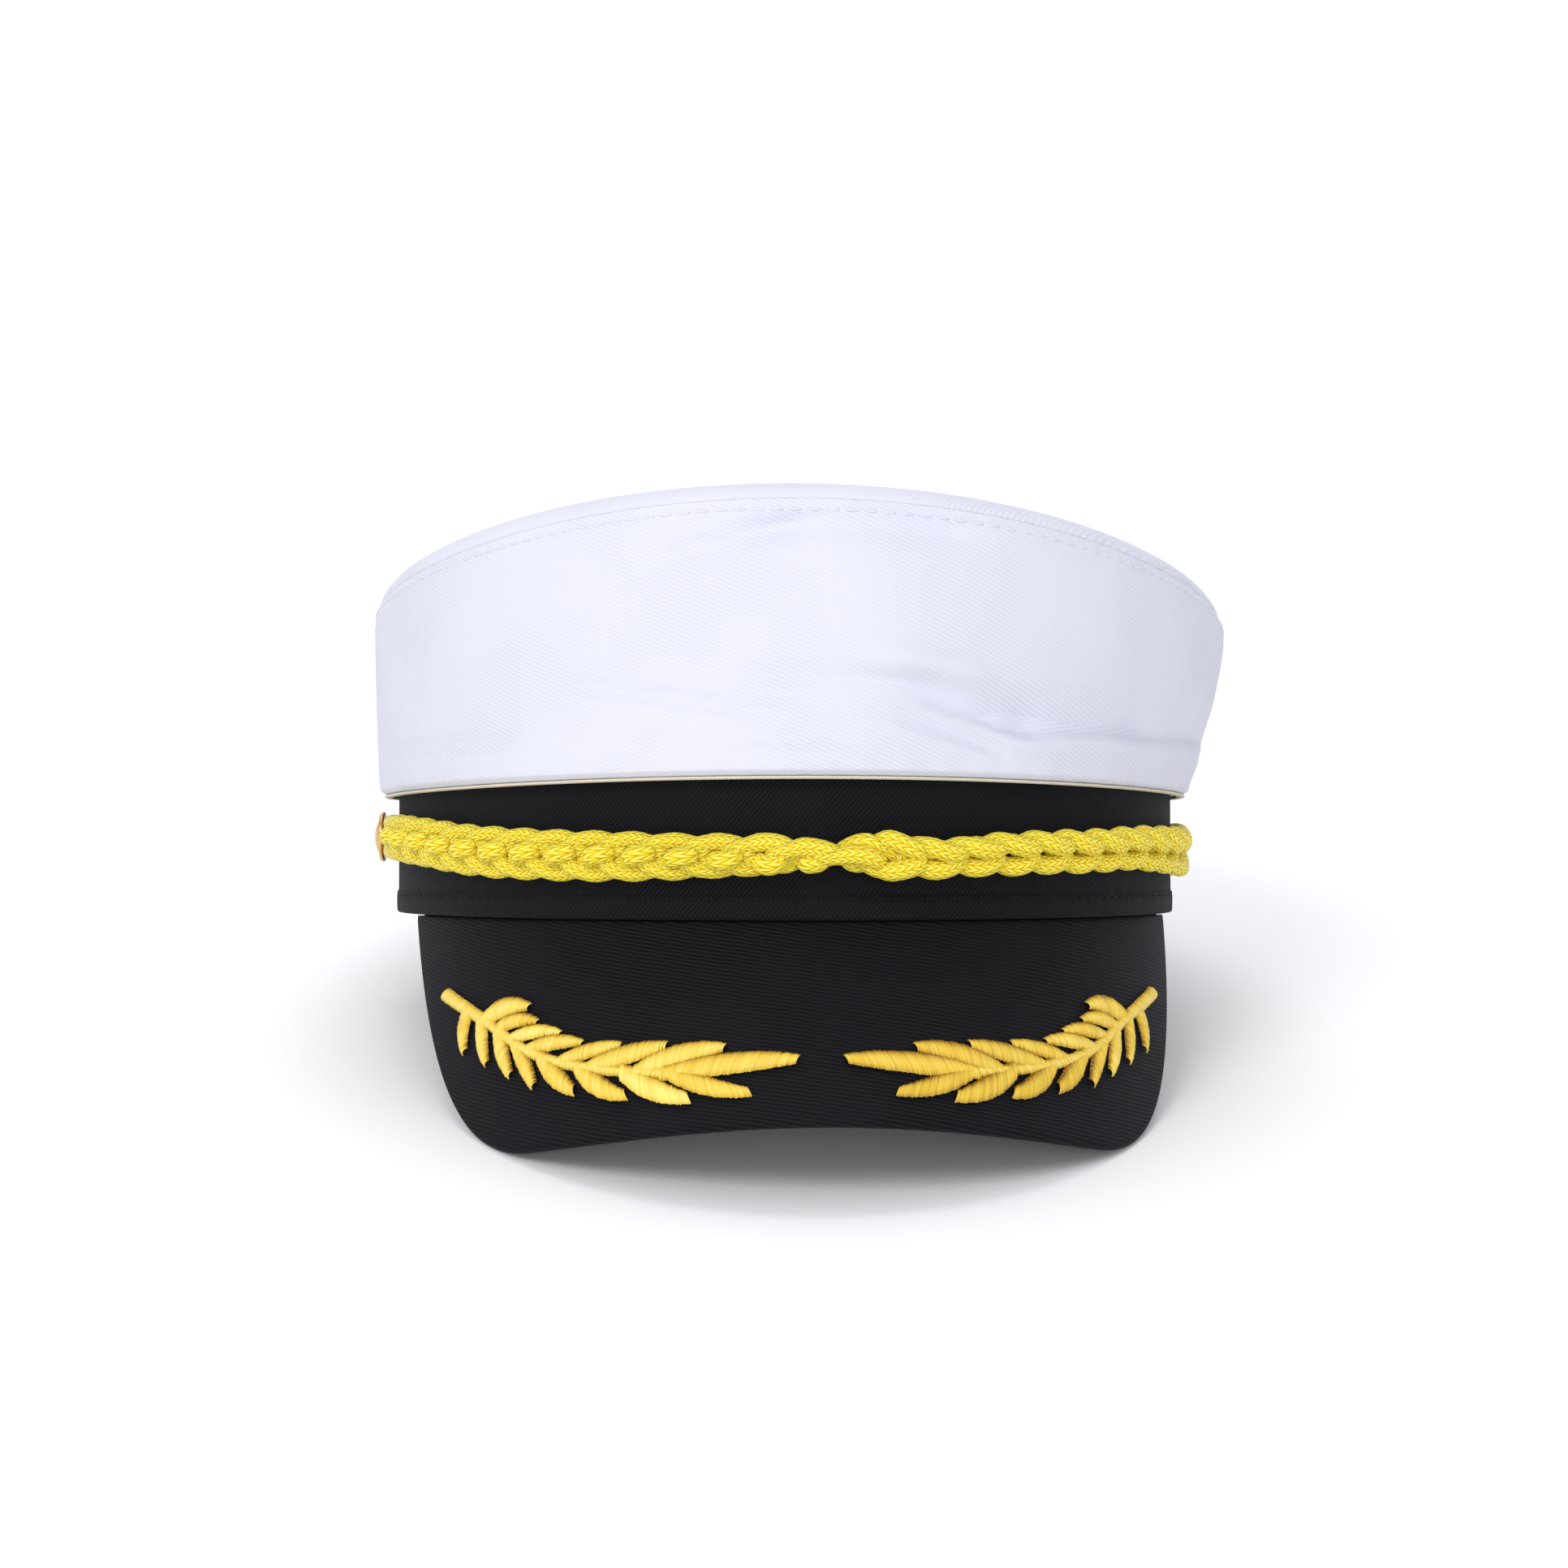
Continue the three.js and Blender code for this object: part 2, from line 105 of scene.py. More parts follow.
def closed_piece(name, points, cloth, material, rows_meet=False):
    """A closed mesh over a grid of points, each with its place on the flat cloth in millimetres.

    The last column repeats the first. The last row does too where the rows meet, and otherwise each end row
    is a pole, where all its points are one.
    """
    rows, columns = points.shape[:2]
    ids = np.arange(rows * columns).reshape(rows, columns)
    ids[:, -1] = ids[:, 0]
    if rows_meet:
        ids[-1] = ids[0]
    for row in (0, -1):
        if np.ptp(points[row], axis=0).max() < 1e-6:
            ids[row] = ids[row, 0]
    corners = np.stack([ids[:-1, :-1], ids[:-1, 1:], ids[1:, 1:], ids[1:, :-1]], -1).reshape(-1, 4)
    places = np.stack([cloth[:-1, :-1], cloth[:-1, 1:], cloth[1:, 1:], cloth[1:, :-1]], 2).reshape(-1, 4, 2)
    used, corners = np.unique(corners, return_inverse=True)
    corners = corners.reshape(-1, 4)
    vertices = at_rest(points.reshape(-1, 3)[used])
    a, b, c, d = (vertices[corners[:, k]] for k in range(4))
    volume = (np.cross(b, c) * a).sum() + (np.cross(c, d) * a).sum()
    if volume < 0:
        corners = corners[:, ::-1]
        places = places[:, ::-1]
    faces = []
    marks = []
    for face, place in zip(corners.tolist(), places.tolist()):
        kept = [k for k in range(4) if face[k] != face[k - 1]]
        faces.append([face[k] for k in kept])
        marks.extend(place[k] for k in kept)
    mesh = bpy.data.meshes.new(name)
    mesh.from_pydata(vertices.tolist(), [], faces)
    layer = mesh.uv_layers.new(name="cloth")
    layer.data.foreach_set("uv", (np.array(marks) * mm).ravel())
    mesh.polygons.foreach_set("use_smooth", [True] * len(faces))
    mesh.materials.append(material)
    mesh.validate()
    return new_object(name, mesh)


def way_along(line):
    """How far along a line, or along each column of a grid, its places are."""
    steps = np.linalg.norm(np.diff(line, axis=0), axis=-1)
    return np.concatenate([np.zeros((1, *steps.shape[1:])), np.cumsum(steps, axis=0)])


def puckers(angle, count, depth, distance, reach, start=0):
    """Small puckers of a seam, so many round the head, which fade with the distance from it."""
    return depth * np.sin(angle * count + start) * np.exp(-((distance / reach) ** 2))


def smooth_line(stops, shares):
    """A smooth line through stops. Shares of the way along give its places."""
    stops = np.asarray(stops, float)
    count = len(stops) - 1
    place = np.clip(np.asarray(shares, float), 0, 1) * count
    left = np.minimum(place.astype(int), count - 1)
    t = (place - left).reshape(-1, *[1] * (stops.ndim - 1))
    padded = np.concatenate([[2 * stops[0] - stops[1]], stops, [2 * stops[-1] - stops[-2]]])
    before, start, end, after = (padded[left + k] for k in range(4))
    square = 2 * before - 5 * start + 4 * end - after
    cube = 3 * start - before - 3 * end + after
    return 0.5 * (2 * start + (end - before) * t + square * t**2 + cube * t**3)


def add_node(tree, kind, inputs=None, **settings):
    """A new node with its settings. An input is a plain value or another node's output."""
    node = tree.nodes.new(kind)
    for key, value in settings.items():
        setattr(node, key, value)
    for key, value in (inputs or {}).items():
        if isinstance(value, bpy.types.NodeSocket):
            tree.links.new(value, node.inputs[key])
        else:
            node.inputs[key].default_value = value
    return node


def reckon(tree, operation, *values):
    """The output of a Math node."""
    return add_node(tree, "ShaderNodeMath", dict(enumerate(values)), operation=operation).outputs[0]


def wave(tree, place, size, middle):
    """A wave round a middle value, one to each whole step of the place."""
    turned = reckon(tree, "COSINE", reckon(tree, "MULTIPLY", place, math.tau))
    return reckon(tree, "MULTIPLY_ADD", turned, size, middle)


def noise(tree, place, scale, detail):
    inputs = {"Vector": place, "Scale": scale, "Detail": detail}
    return add_node(tree, "ShaderNodeTexNoise", inputs).outputs["Fac"]


def mixed_colour(tree, share, dark, light):
    inputs = {"Factor": share, "A": (*dark, 1), "B": (*light, 1)}
    return add_node(tree, "ShaderNodeMix", inputs, data_type="RGBA").outputs["Result"]


def new_material(name, values):
    """A new material with these values of its surface. Returns it, its node tree and the surface's inputs."""
    material = bpy.data.materials.new(name)
    material.use_nodes = True
    inputs = material.node_tree.nodes["Principled BSDF"].inputs
    for label, value in values.items():
        inputs[label].default_value = value
    return material, material.node_tree, inputs


def raise_bumps(tree, surface, height, distance):
    """Gives a surface bumps. Their height is a share of the distance, in millimetres."""
    bump = add_node(tree, "ShaderNodeBump", {"Height": height, "Distance": distance * mm})
    tree.links.new(bump.outputs[0], surface["Normal"])


def new_group(name, inputs, outputs, kind="ShaderNodeTree"):
    """A node group with named sockets. Returns the group, what is given to it, and where its results go."""
    group = bpy.data.node_groups.new(name, kind)
    for way, sockets in (("INPUT", inputs), ("OUTPUT", outputs)):
        for label, socket_kind in sockets.items():
            group.interface.new_socket(label, in_out=way, socket_type="NodeSocket" + socket_kind)
    return group, group.nodes.new("NodeGroupInput").outputs, group.nodes.new("NodeGroupOutput").inputs


# Twill: slanting ribs, each broken into short floats, on a cloth whose yarns vary a little in thickness.
twill, given, result = new_group(
    "twill",
    {
        "Cloth": "Vector",
        "Rib Pitch": "Float",
        "Rib Angle": "Float",
        "Unevenness": "Float",
        "Patchiness": "Float",
    },
    {"Height": "Float", "Slub": "Float"},
)
turned = add_node(
    twill,
    "ShaderNodeVectorRotate",
    {"Vector": given["Cloth"], "Angle": reckon(twill, "MULTIPLY", given["Rib Angle"], -1)},
    rotation_type="Z_AXIS",
).outputs[0]
split = add_node(twill, "ShaderNodeSeparateXYZ", {"Vector": turned})
# The ribs wander a little.
rib_place = reckon(twill, "DIVIDE", split.outputs["Y"], given["Rib Pitch"])
ripple = reckon(twill, "SUBTRACT", noise(twill, given["Cloth"], 90, 2), 0.5)
rib_place = reckon(twill, "ADD", rib_place, reckon(twill, "MULTIPLY", ripple, 0.8))
rib = wave(twill, rib_place, 0.5, 0.5)
# The floats of each rib start further on than those of the last one.
float_place = reckon(twill, "DIVIDE", split.outputs["X"], reckon(twill, "MULTIPLY", given["Rib Pitch"], 0.8))
further_on = reckon(twill, "MULTIPLY", reckon(twill, "FLOOR", rib_place), 0.37)
floats = wave(twill, reckon(twill, "ADD", float_place, further_on), 0.16, 0.84)
woven = reckon(twill, "MULTIPLY", rib, floats)
# Some yarns are thicker, along the ribs.
yarn_scale = {0: turned, 1: (160, 1500, 1)}
yarn_place = add_node(twill, "ShaderNodeVectorMath", yarn_scale, operation="MULTIPLY").outputs[0]
yarn = noise(twill, yarn_place, 1, 3)
slub = reckon(twill, "MULTIPLY_ADD", reckon(twill, "SUBTRACT", yarn, 0.5), given["Unevenness"], 0)
# In patches the ribs lie flatter.
patch = {"Value": noise(twill, given["Cloth"], 38, 1), "From Min": 0.4, "From Max": 0.6}
worn = add_node(twill, "ShaderNodeMapRange", patch).outputs[0]
flat = reckon(twill, "MULTIPLY", worn, given["Patchiness"])
ribs = add_node(twill, "ShaderNodeMix", {"Factor": flat, "A": woven, "B": 0.6}).outputs[0]
twill.links.new(reckon(twill, "ADD", ribs, slub), result["Height"])
twill.links.new(yarn, result["Slub"])


def twill_cloth(name, dark, light, rib_pitch, rib_angle, relief, roughness, sheen, tint, patchiness=0.3):
    """A twill material. Its furrows take the dark colour, a painted shade, and its ribs the light one."""
    sheens = {"Sheen Weight": sheen, "Sheen Roughness": 0.45, "Sheen Tint": (*tint, 1)}
    material, tree, surface = new_material(name, {**sheens, "Specular IOR Level": 0.12})
    weave = add_node(
        tree,
        "ShaderNodeGroup",
        {
            "Cloth": add_node(tree, "ShaderNodeUVMap", uv_map="cloth").outputs[0],
            "Rib Pitch": rib_pitch * mm,
            "Rib Angle": math.radians(rib_angle),
            "Unevenness": 0.3,
            "Patchiness": patchiness,
        },
        node_tree=twill,
    ).outputs
    # The furrows are painted darker: this is painted shade in them.
    tree.links.new(mixed_colour(tree, weave["Height"], dark, light), surface["Base Color"])
    uneven = 0.16
    rough = reckon(tree, "MULTIPLY_ADD", weave["Slub"], uneven, roughness - uneven / 2)
    tree.links.new(rough, surface["Roughness"])
    raise_bumps(tree, surface, weave["Height"], relief)
    return material


black_cotton = {"relief": 0.14, "sheen": 0.03, "tint": (0.75, 0.8, 1)}
band_twill = twill_cloth(
    "band_twill",
    dark=(0.0012, 0.0012, 0.0018),
    light=(0.0105, 0.0105, 0.0135),
    rib_pitch=0.8,
    rib_angle=50,
    roughness=0.75,
    **black_cotton,
)

# The section starts and ends at the top of the inner face, and rounds the fold at the bottom. A shallow
# furrow marks the hem's stitch line.
band_inner = [(-band_wall, z) for z in np.linspace(band_height + band_tuck, 2, 8)]
band_fold = [(-band_wall, 0.5), (-band_wall * 0.85, 0.1), (-band_wall * 0.5, 0)]
band_fold += [(-0.3, 0), (0.05, 0.06), (0.26, 0.25)]
band_hem = [
    (hem_proud * 0.9, 0.6),
    (hem_proud, 1.6),
    (hem_proud, 3.4),
    (hem_proud * 0.85, hem_stitch_height - 0.35),
    (hem_proud * 0.25, hem_stitch_height),
    (hem_proud * 0.8, hem_stitch_height + 0.35),
    (hem_proud * 0.7, hem_height - 0.1),
    (0.02, hem_height + 0.1),
]
band_outer = [(0, z) for z in np.linspace(hem_height + 0.6, band_height + band_tuck, 14)]
band_section = np.array(band_inner + band_fold + band_hem + band_outer + band_inner[:1])
band_angles = np.linspace(-math.pi, math.pi, band_columns + 1)
turn_grid = np.broadcast_to(band_angles, (len(band_section), band_columns + 1))
out_grid = np.broadcast_to(band_section[:, :1], turn_grid.shape)
rise_grid = np.broadcast_to(band_section[:, 1:], turn_grid.shape)
hem_puckers = puckers(turn_grid, 95, 0.07, rise_grid - hem_stitch_height, 1.2)
on_the_outside = out_grid > -1
band_points = oval_point(turn_grid, out_grid + hem_puckers * on_the_outside, rise_grid)
band_mean_radius = (band_half_width + band_half_length) / 2
section_way = np.broadcast_to(way_along(band_section)[:, None], turn_grid.shape)
band_cloth = np.stack([turn_grid * band_mean_radius, section_way], -1)
band = closed_piece("band_ring", band_points, band_cloth, band_twill, rows_meet=True)
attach(band, "root")
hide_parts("band")

# Stitches along a seam: one short thread at each step of the path. It lies along the path, faces out of the
# cloth, and sinks into it at both ends.
sewing, given, result = new_group(
    "stitches_along_seam",
    {
        "Seam": "Geometry",
        "Stitch Pitch": "Float",
        "Stitch Share": "Float",
        "Thread Thickness": "Float",
        "Thread Material": "Material",
    },
    {"Stitches": "Geometry"},
    "GeometryNodeTree",
)
seam = add_node(sewing, "GeometryNodeMeshToCurve", {"Mesh": given["Seam"]})
evened = add_node(
    sewing,
    "GeometryNodeResampleCurve",
    {"Curve": seam.outputs[0], "Length": given["Stitch Pitch"]},
    mode="LENGTH",
)
facing = add_node(sewing, "GeometryNodeInputNamedAttribute", {"Name": "facing"}, data_type="FLOAT_VECTOR")
tangent = add_node(sewing, "GeometryNodeInputTangent")
turn = add_node(
    sewing,
    "FunctionNodeAxesToRotation",
    {"Primary Axis": facing.outputs["Attribute"], "Secondary Axis": tangent.outputs[0]},
    primary_axis="Z",
    secondary_axis="X",
)
bead = add_node(sewing, "GeometryNodeMeshUVSphere", {"Segments": 8, "Rings": 6, "Radius": 0.5})
stitch_length = reckon(sewing, "MULTIPLY", given["Stitch Pitch"], given["Stitch Share"])
stitch_size = add_node(
    sewing,
    "ShaderNodeCombineXYZ",
    {"X": stitch_length, "Y": given["Thread Thickness"], "Z": given["Thread Thickness"]},
)
stitches = add_node(
    sewing,
    "GeometryNodeInstanceOnPoints",
    {
        "Points": evened.outputs[0],
        "Instance": bead.outputs["Mesh"],
        "Rotation": turn.outputs[0],
        "Scale": stitch_size.outputs[0],
    },
)


def hand_over(tree, threads, material, result):
    """Makes a tree's threads real and smooth, gives them their material, and hands them over."""
    made = add_node(tree, "GeometryNodeRealizeInstances", {"Geometry": threads}).outputs[0]
    smooth = add_node(tree, "GeometryNodeSetShadeSmooth", {"Geometry": made}).outputs[0]
    dressed = add_node(tree, "GeometryNodeSetMaterial", {"Geometry": smooth, "Material": material}).outputs[0]
    tree.links.new(dressed, result[0])


hand_over(sewing, stitches.outputs[0], given["Thread Material"], result)


def grown(name, base, tree, values):
    """Puts a Geometry Nodes tree on a base mesh, and returns what it makes as a plain mesh piece."""
    holder = new_object(name + "_path", base)
    modifier = holder.modifiers.new("made", "NODES")
    modifier.node_group = tree
    for item in tree.interface.items_tree:
        if item.in_out == "INPUT" and item.name in values:
            modifier[item.identifier] = values[item.name]
    shown = holder.evaluated_get(bpy.context.evaluated_depsgraph_get())
    mesh = bpy.data.meshes.new_from_object(shown)
    mesh.name = name
    bpy.data.objects.remove(holder)
    return new_object(name, mesh)


def stitch_row(name, points, facings, pitch, share, thickness, thread):
    """Stitches right round the hat, through places on the upright hat. They face out of its cloth."""
    count = len(points)
    line = bpy.data.meshes.new(name + "_line")
    line.from_pydata(at_rest(points).tolist(), [(k, (k + 1) % count) for k in range(count)], [])
    layer = line.attributes.new("facing", "FLOAT_VECTOR", "POINT")
    layer.data.foreach_set("vector", tilt_back(facings).ravel())
    values = {
        "Stitch Pitch": pitch * mm,
        "Stitch Share": share,
        "Thread Thickness": thickness * mm,
        "Thread Material": thread,
    }
    return grown(name, line, sewing, values)


def object_noise(tree, scale, detail):
    place = add_node(tree, "ShaderNodeTexCoord").outputs["Object"]
    return noise(tree, place, scale, detail)


def thread_material(name, dark, light, roughness, sheen):
    """Sewing thread: fine strands, a little uneven in colour."""
    values = {"Roughness": roughness, "Sheen Weight": sheen, "Specular IOR Level": 0.2}
    material, tree, surface = new_material(name, values)
    strands = object_noise(tree, 2000, 2)
    tree.links.new(mixed_colour(tree, strands, dark, light), surface["Base Color"])
    raise_bumps(tree, surface, strands, 0.04)
    return material


black_thread = thread_material("black_thread", (0.001, 0.001, 0.0015), (0.004, 0.004, 0.005), 0.7, 0)
hem_angles = np.linspace(-math.pi, math.pi, 480, endpoint=False)
hem_line = oval_point(hem_angles, hem_proud * 0.3, hem_stitch_height)
hem_stitches = stitch_row(
    "hem_stitches",
    hem_line,
    oval_normal(hem_angles),
    pitch=3.1,
    share=0.8,
    thickness=0.55,
    thread=black_thread,
)
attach(hem_stitches, "root")

# The crown's side panel
# It is one long piece of white twill, fused to a soft backing. Its lower edge is rolled under over a thin
# ivory edging and sewn to the band, and it flares towards the top seam. It hangs in a few soft folds.
seat_gap = 0.3
crown_overhang = 4.4
crown_roll = 3.2
crown_dip = 2.2
crown_side_flare = 9
crown_end_flare = 8
crown_front_height = 54
crown_side_height = 36.6
crown_back_height = 38
crown_lean = 3.4
crown_lift = 2.6
crown_tuck = 0.8
seam_nip = 0.1
crown_wall = 1.6
front_rise_shape = 1.6


def seam_height(angle):
    """The crown's lower edge dips at the sides of the head."""
    return band_height - crown_dip * np.sin(angle) ** 2


# The lower seam and the top seam, by the angle round the head.
side_columns = 720
side_angles = np.linspace(-math.pi, math.pi, side_columns + 1)
side_normals = oval_normal(side_angles)
low_seam = seam_height(side_angles)
forwards = np.cos(side_angles)
end_height = np.where(forwards > 0, crown_front_height, crown_back_height)
top_seam = band_height + mixed(crown_side_height, end_height, np.abs(forwards) ** front_rise_shape)
top_seam -= crown_lift * np.sin(side_angles)
widest_x = crown_lean + (band_half_width + crown_side_flare) * np.sin(side_angles)
widest_y = -(band_half_length + crown_end_flare) * forwards
widest = np.stack([widest_x, widest_y, np.zeros_like(side_angles)], -1)
# The rolled edge as shares of the overhang and of the roll, then the panel as shares of the way out, of its
# height and of the tuck.
roll_stops = [(0.03, 0.5), (0.03, 0.1), (0.42, 0), (0.85, 0.26), (1, 1)]
panel_stops = [(0.38, 0.28, 0), (0.7, 0.55, 0), (0.92, 0.8, 0), (1, 0.92, 0.25), (1, 1, 1)]
side_stops = [
    oval_point(side_angles, mixed(seat_gap, crown_overhang, out), low_seam + rise * crown_roll)
    for out, rise in roll_stops
]
for spread, rise, tucked in panel_stops:
    row = mixed(oval_point(side_angles, crown_overhang, 0.0), widest, spread)
    row -= side_normals * tucked * crown_tuck
    row[..., 2] = mixed(low_seam + crown_roll, top_seam, rise)
    side_stops.append(row)
roll_rows = 14
panel_start = 0.44
roll_shares = np.linspace(0, panel_start, roll_rows, endpoint=False)
panel_shares = np.linspace(panel_start, 0.98, 64)
side_shares = np.concatenate([roll_shares, panel_shares, [0.985, 0.99, 0.995, 1]])
side_smooth = smooth_line(side_stops, side_shares)
side_rise = (side_smooth[..., 2] - low_seam) / (top_seam - low_seam)

# The folds. Each is a soft furrow or swelling round a line. In a row: where the line starts and ends, as an
# angle and a share of the panel's height; how far out the cloth is there, in millimetres; and within what
# shares of the height it comes back, above the line and below it.
folds = [
    ((16, 0.26), (25, 0.205), -2.4, 0.11, 0.02),
    ((29, 0.205), (46, 0.235), -2.4, 0.12, 0.02),
    ((50, 0.24), (76, 0.32), -1.6, 0.12, 0.03),
    ((26, 0.14), (72, 0.17), 0.6, 0.05, 0.06),
    ((13, 0.19), (21, 0.125), -1.6, 0.035, 0.018),
    ((9, 0.43), (16, 0.4), 1.7, 0.06, 0.06),
    ((-30, 0.35), (-9, 0.235), -1.1, 0.04, 0.022),
    ((-6, 0.35), (10, 0.34), -1, 0.04, 0.02),
    ((-7, 0.085), (0, 0.08), -0.6, 0.02, 0.02),
    ((-16, 0.83), (-6, 0.9), -1.2, 0.04, 0.06),
    ((-6, 0.9), (13, 0.91), -1.2, 0.04, 0.06),
    ((-70, 0.2), (-45, 0.16), -1, 0.04, 0.03),
    ((86, 0.5), (98, 0.25), -1.2, 0.1, 0.1),
    ((118, 0.32), (150, 0.2), -2, 0.12, 0.03),
    ((150, 0.5), (185, 0.42), -1.5, 0.12, 0.05),
    ((-128, 0.42), (-98, 0.26), -1.7, 0.1, 0.04),
    ((-160, 0.24), (-132, 0.2), -1.2, 0.07, 0.03),
]
fold_end_turn = 5
fold_depth = np.zeros_like(side_rise)
for (turn_start, rise_start), (turn_end, rise_end), out, above_line, below_line in folds:
    middle = (turn_start + turn_end) / 2
    turned_by = (np.degrees(side_angles) - middle + 180) % 360 - 180
    along = turned_by + middle - turn_start
    line = mixed(rise_start, rise_end, along / (turn_end - turn_start))
    past = np.maximum(np.abs(turned_by) - (turn_end - turn_start) / 2, 0) / fold_end_turn
    above = side_rise - line
    reach = np.where(above > 0, above_line, below_line)
    fold_depth += out * np.exp(-(past**2) - (above / reach) ** 2)


def slow_waves(rise, waves):
    """Long soft waves round the crown: how many round the head, how they climb, their size and start."""
    total = np.zeros_like(rise)
    for count, climb, size, start in waves:
        total = total + size * np.sin(count * side_angles[None] + climb * rise + start)
    return total


# Folds and waves fade out towards the edging and the top seam, where the stitches pucker the cloth.
side_waves = [(5, 2.1, 0.25, 0.6), (9, -3.2, 0.16, 2.2), (14, 4.5, 0.1, 4.1), (23, 6, 0.05, 1.3)]
side_loose = np.clip(side_rise / 0.12, 0, 1) * np.clip((1 - side_rise) / 0.06, 0, 1)
side_out = (fold_depth + slow_waves(side_rise, side_waves)) * side_loose
side_out += puckers(side_angles, 97, 0.04, 1 - side_rise, 0.035)
side_out += puckers(side_angles, 71, 0.1, side_rise, 0.08)
side_out -= seam_nip * np.exp(-(((1 - side_rise) / 0.012) ** 2))
side_outer = side_smooth + side_normals * side_out[..., None]


def inner_wall(outer, wall):
    """The inner side of the crown's wall, from its outer rows."""
    along = np.gradient(outer, axis=0)
    sideways = (along * side_normals).sum(-1)
    rise = along[..., 2]
    length = np.maximum(np.hypot(sideways, rise), 1e-9)
    inner = outer - side_normals * (wall * rise / length)[..., None]
    inner[..., 2] += wall * sideways / length
    return inner


side_inner = inner_wall(side_outer[roll_rows:], crown_wall)[::-5]
side_points = np.concatenate([side_outer, side_inner, side_outer[:1]])
# The cloth is measured along the smooth panel, so that the folds leave its ribs even.
side_way = way_along(np.concatenate([side_smooth, side_inner, side_smooth[:1]]))
side_turn = np.broadcast_to(side_angles * (band_mean_radius + crown_overhang), side_way.shape)
side_cloth = np.stack([side_turn, side_way], -1)
white_cotton = {
    "dark": (0.6, 0.6, 0.69),
    "light": (0.69, 0.69, 0.78),
    "rib_pitch": 0.8,
    "relief": 0.05,
    "roughness": 0.85,
    "sheen": 0.1,
    "tint": (0.95, 0.96, 1),
    "patchiness": 0.8,
}
white_twill = twill_cloth("white_twill", rib_angle=-22, **white_cotton)
crown_side = closed_piece("crown_side_panel", side_points, side_cloth, white_twill, rows_meet=True)
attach(crown_side, "root")
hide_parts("crown_side")

# The ivory edging
# It is a thin ivory cotton piping, sewn in between the crown's rolled edge and the band, where it shows as
# a fine line.
edging_out = 2.3
edging_width = 2
edging_height = 0.7
ivory = twill_cloth(
    "ivory_cotton",
    dark=(0.6, 0.53, 0.41),
    light=(0.78, 0.72, 0.59),
    rib_pitch=0.6,
    rib_angle=90,
    relief=0.06,
    roughness=0.8,
    sheen=0.1,
    tint=(1, 0.97, 0.9),
)
edging_seat = -0.85
edging_turns = np.linspace(0, math.tau, 13)[:, None]
edging_points = oval_point(
    band_angles[None],
    edging_out + edging_width / 2 * np.cos(edging_turns),
    seam_height(band_angles)[None] + edging_height / 2 * (np.sin(edging_turns) + edging_seat),
)
edging_cloth = np.stack(np.broadcast_arrays(band_angles[None] * band_mean_radius, edging_turns), -1)
edging = closed_piece("crown_edging", edging_points, edging_cloth, ivory, rows_meet=True)
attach(edging, "root")

# The crown's top panel
# It is an oval of the same white twill with its ribs another way. It is sewn to the side panel all round,
# puffs up inside the seam, and runs nearly flat across the head.
top_front_puff = 4.6
top_side_puff = 8
top_middle_height = 44
top_wall = 1.6
top_fall_shape = 1.3
# How far in from the seam, as a share of the way to the middle, and what share of its puff it has there.
top_stops = [
    (0, 0), (0.012, 0.35), (0.04, 0.68), (0.09, 0.94), (0.22, 1), (0.4, 0.98), (0.6, 0.94), (0.8, 0.91),
    (1, 0.9),
]

top_shares = np.concatenate([np.linspace(0, 0.5, 25, endpoint=False), np.linspace(0.5, 1, 24)])
top_inwards, top_puff = smooth_line(top_stops, top_shares).T[..., None]
top_edge = side_stops[-1]
top_middle = np.array([crown_lean, 0, band_height + top_middle_height])
top_outer = mixed(top_edge, top_middle, top_inwards[..., None])
full_puff = mixed(top_side_puff, top_front_puff, np.cos(side_angles) ** 2)
full_puff = mixed(full_puff, top_front_puff, top_inwards)
top_outer[..., 2] = mixed(top_edge[:, 2], top_middle[2], top_inwards**top_fall_shape) + top_puff * full_puff
top_outer[-1] = top_outer[-1].mean(axis=0)
top_waves = [(3, 5, 0.6, 0.4), (4, -4, 0.4, 2.6), (7, 9, 0.2, 5.1)]
top_loose = np.sin(np.clip(top_inwards, 0, 1) * math.pi) ** 1.2
top_outer[..., 2] += slow_waves(top_inwards, top_waves) * top_loose
top_outer[..., 2] += puckers(side_angles, 61, 0.03, top_inwards - 0.03, 0.03, start=1)
top_outer -= side_normals * (seam_nip * np.exp(-((top_inwards / 0.004) ** 2)))[..., None]
top_inner = inner_wall(top_outer, top_wall)
top_inner[0, :, 2] = top_outer[0, :, 2]
top_inner[-1] = top_outer[-1] - np.array([0, 0, top_wall])
top_points = np.concatenate([top_outer[::-1], top_inner[::4], top_inner[-1:]])
top_cloth = top_points[..., :2].copy()
top_twill = twill_cloth("white_top_twill", rib_angle=58, **white_cotton)
crown_top = closed_piece("crown_top_panel", top_points, top_cloth, top_twill)
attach(crown_top, "root")
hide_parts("crown_top")

# The topstitching
# A row of white lockstitches holds the seam flat, just under it on the side panel, right round the crown.
white_thread = thread_material("white_thread", (0.56, 0.56, 0.64), (0.74, 0.74, 0.82), 0.7, 0.05)
topstitch_pitch = 3.7
topstitched_row = 72
facings = side_normals[:-1]
stitch_line = side_outer[topstitched_row, :-1] + facings * 0.02
topstitches = stitch_row(
    "crown_topstitches",
    stitch_line,
    facings,
    pitch=topstitch_pitch,
    share=0.76,
    thickness=0.6,
    thread=white_thread,
)
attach(topstitches, "root")

# Between the stitches the needle has left small holes. The dark beads set in them are painted shade.
hole_shade = thread_material("needle_hole_shade", (0.17, 0.17, 0.23), (0.35, 0.35, 0.44), 0.9, 0)
hole_line = np.roll(stitch_line, -1, axis=0) - facings * 0.12
needle_hole_shadows = stitch_row(
    "needle_hole_shadows",
    hole_line,
    facings,
    pitch=topstitch_pitch,
    share=0.16,
    thickness=0.5,
    thread=hole_shade,
)
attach(needle_hole_shadows, "root")

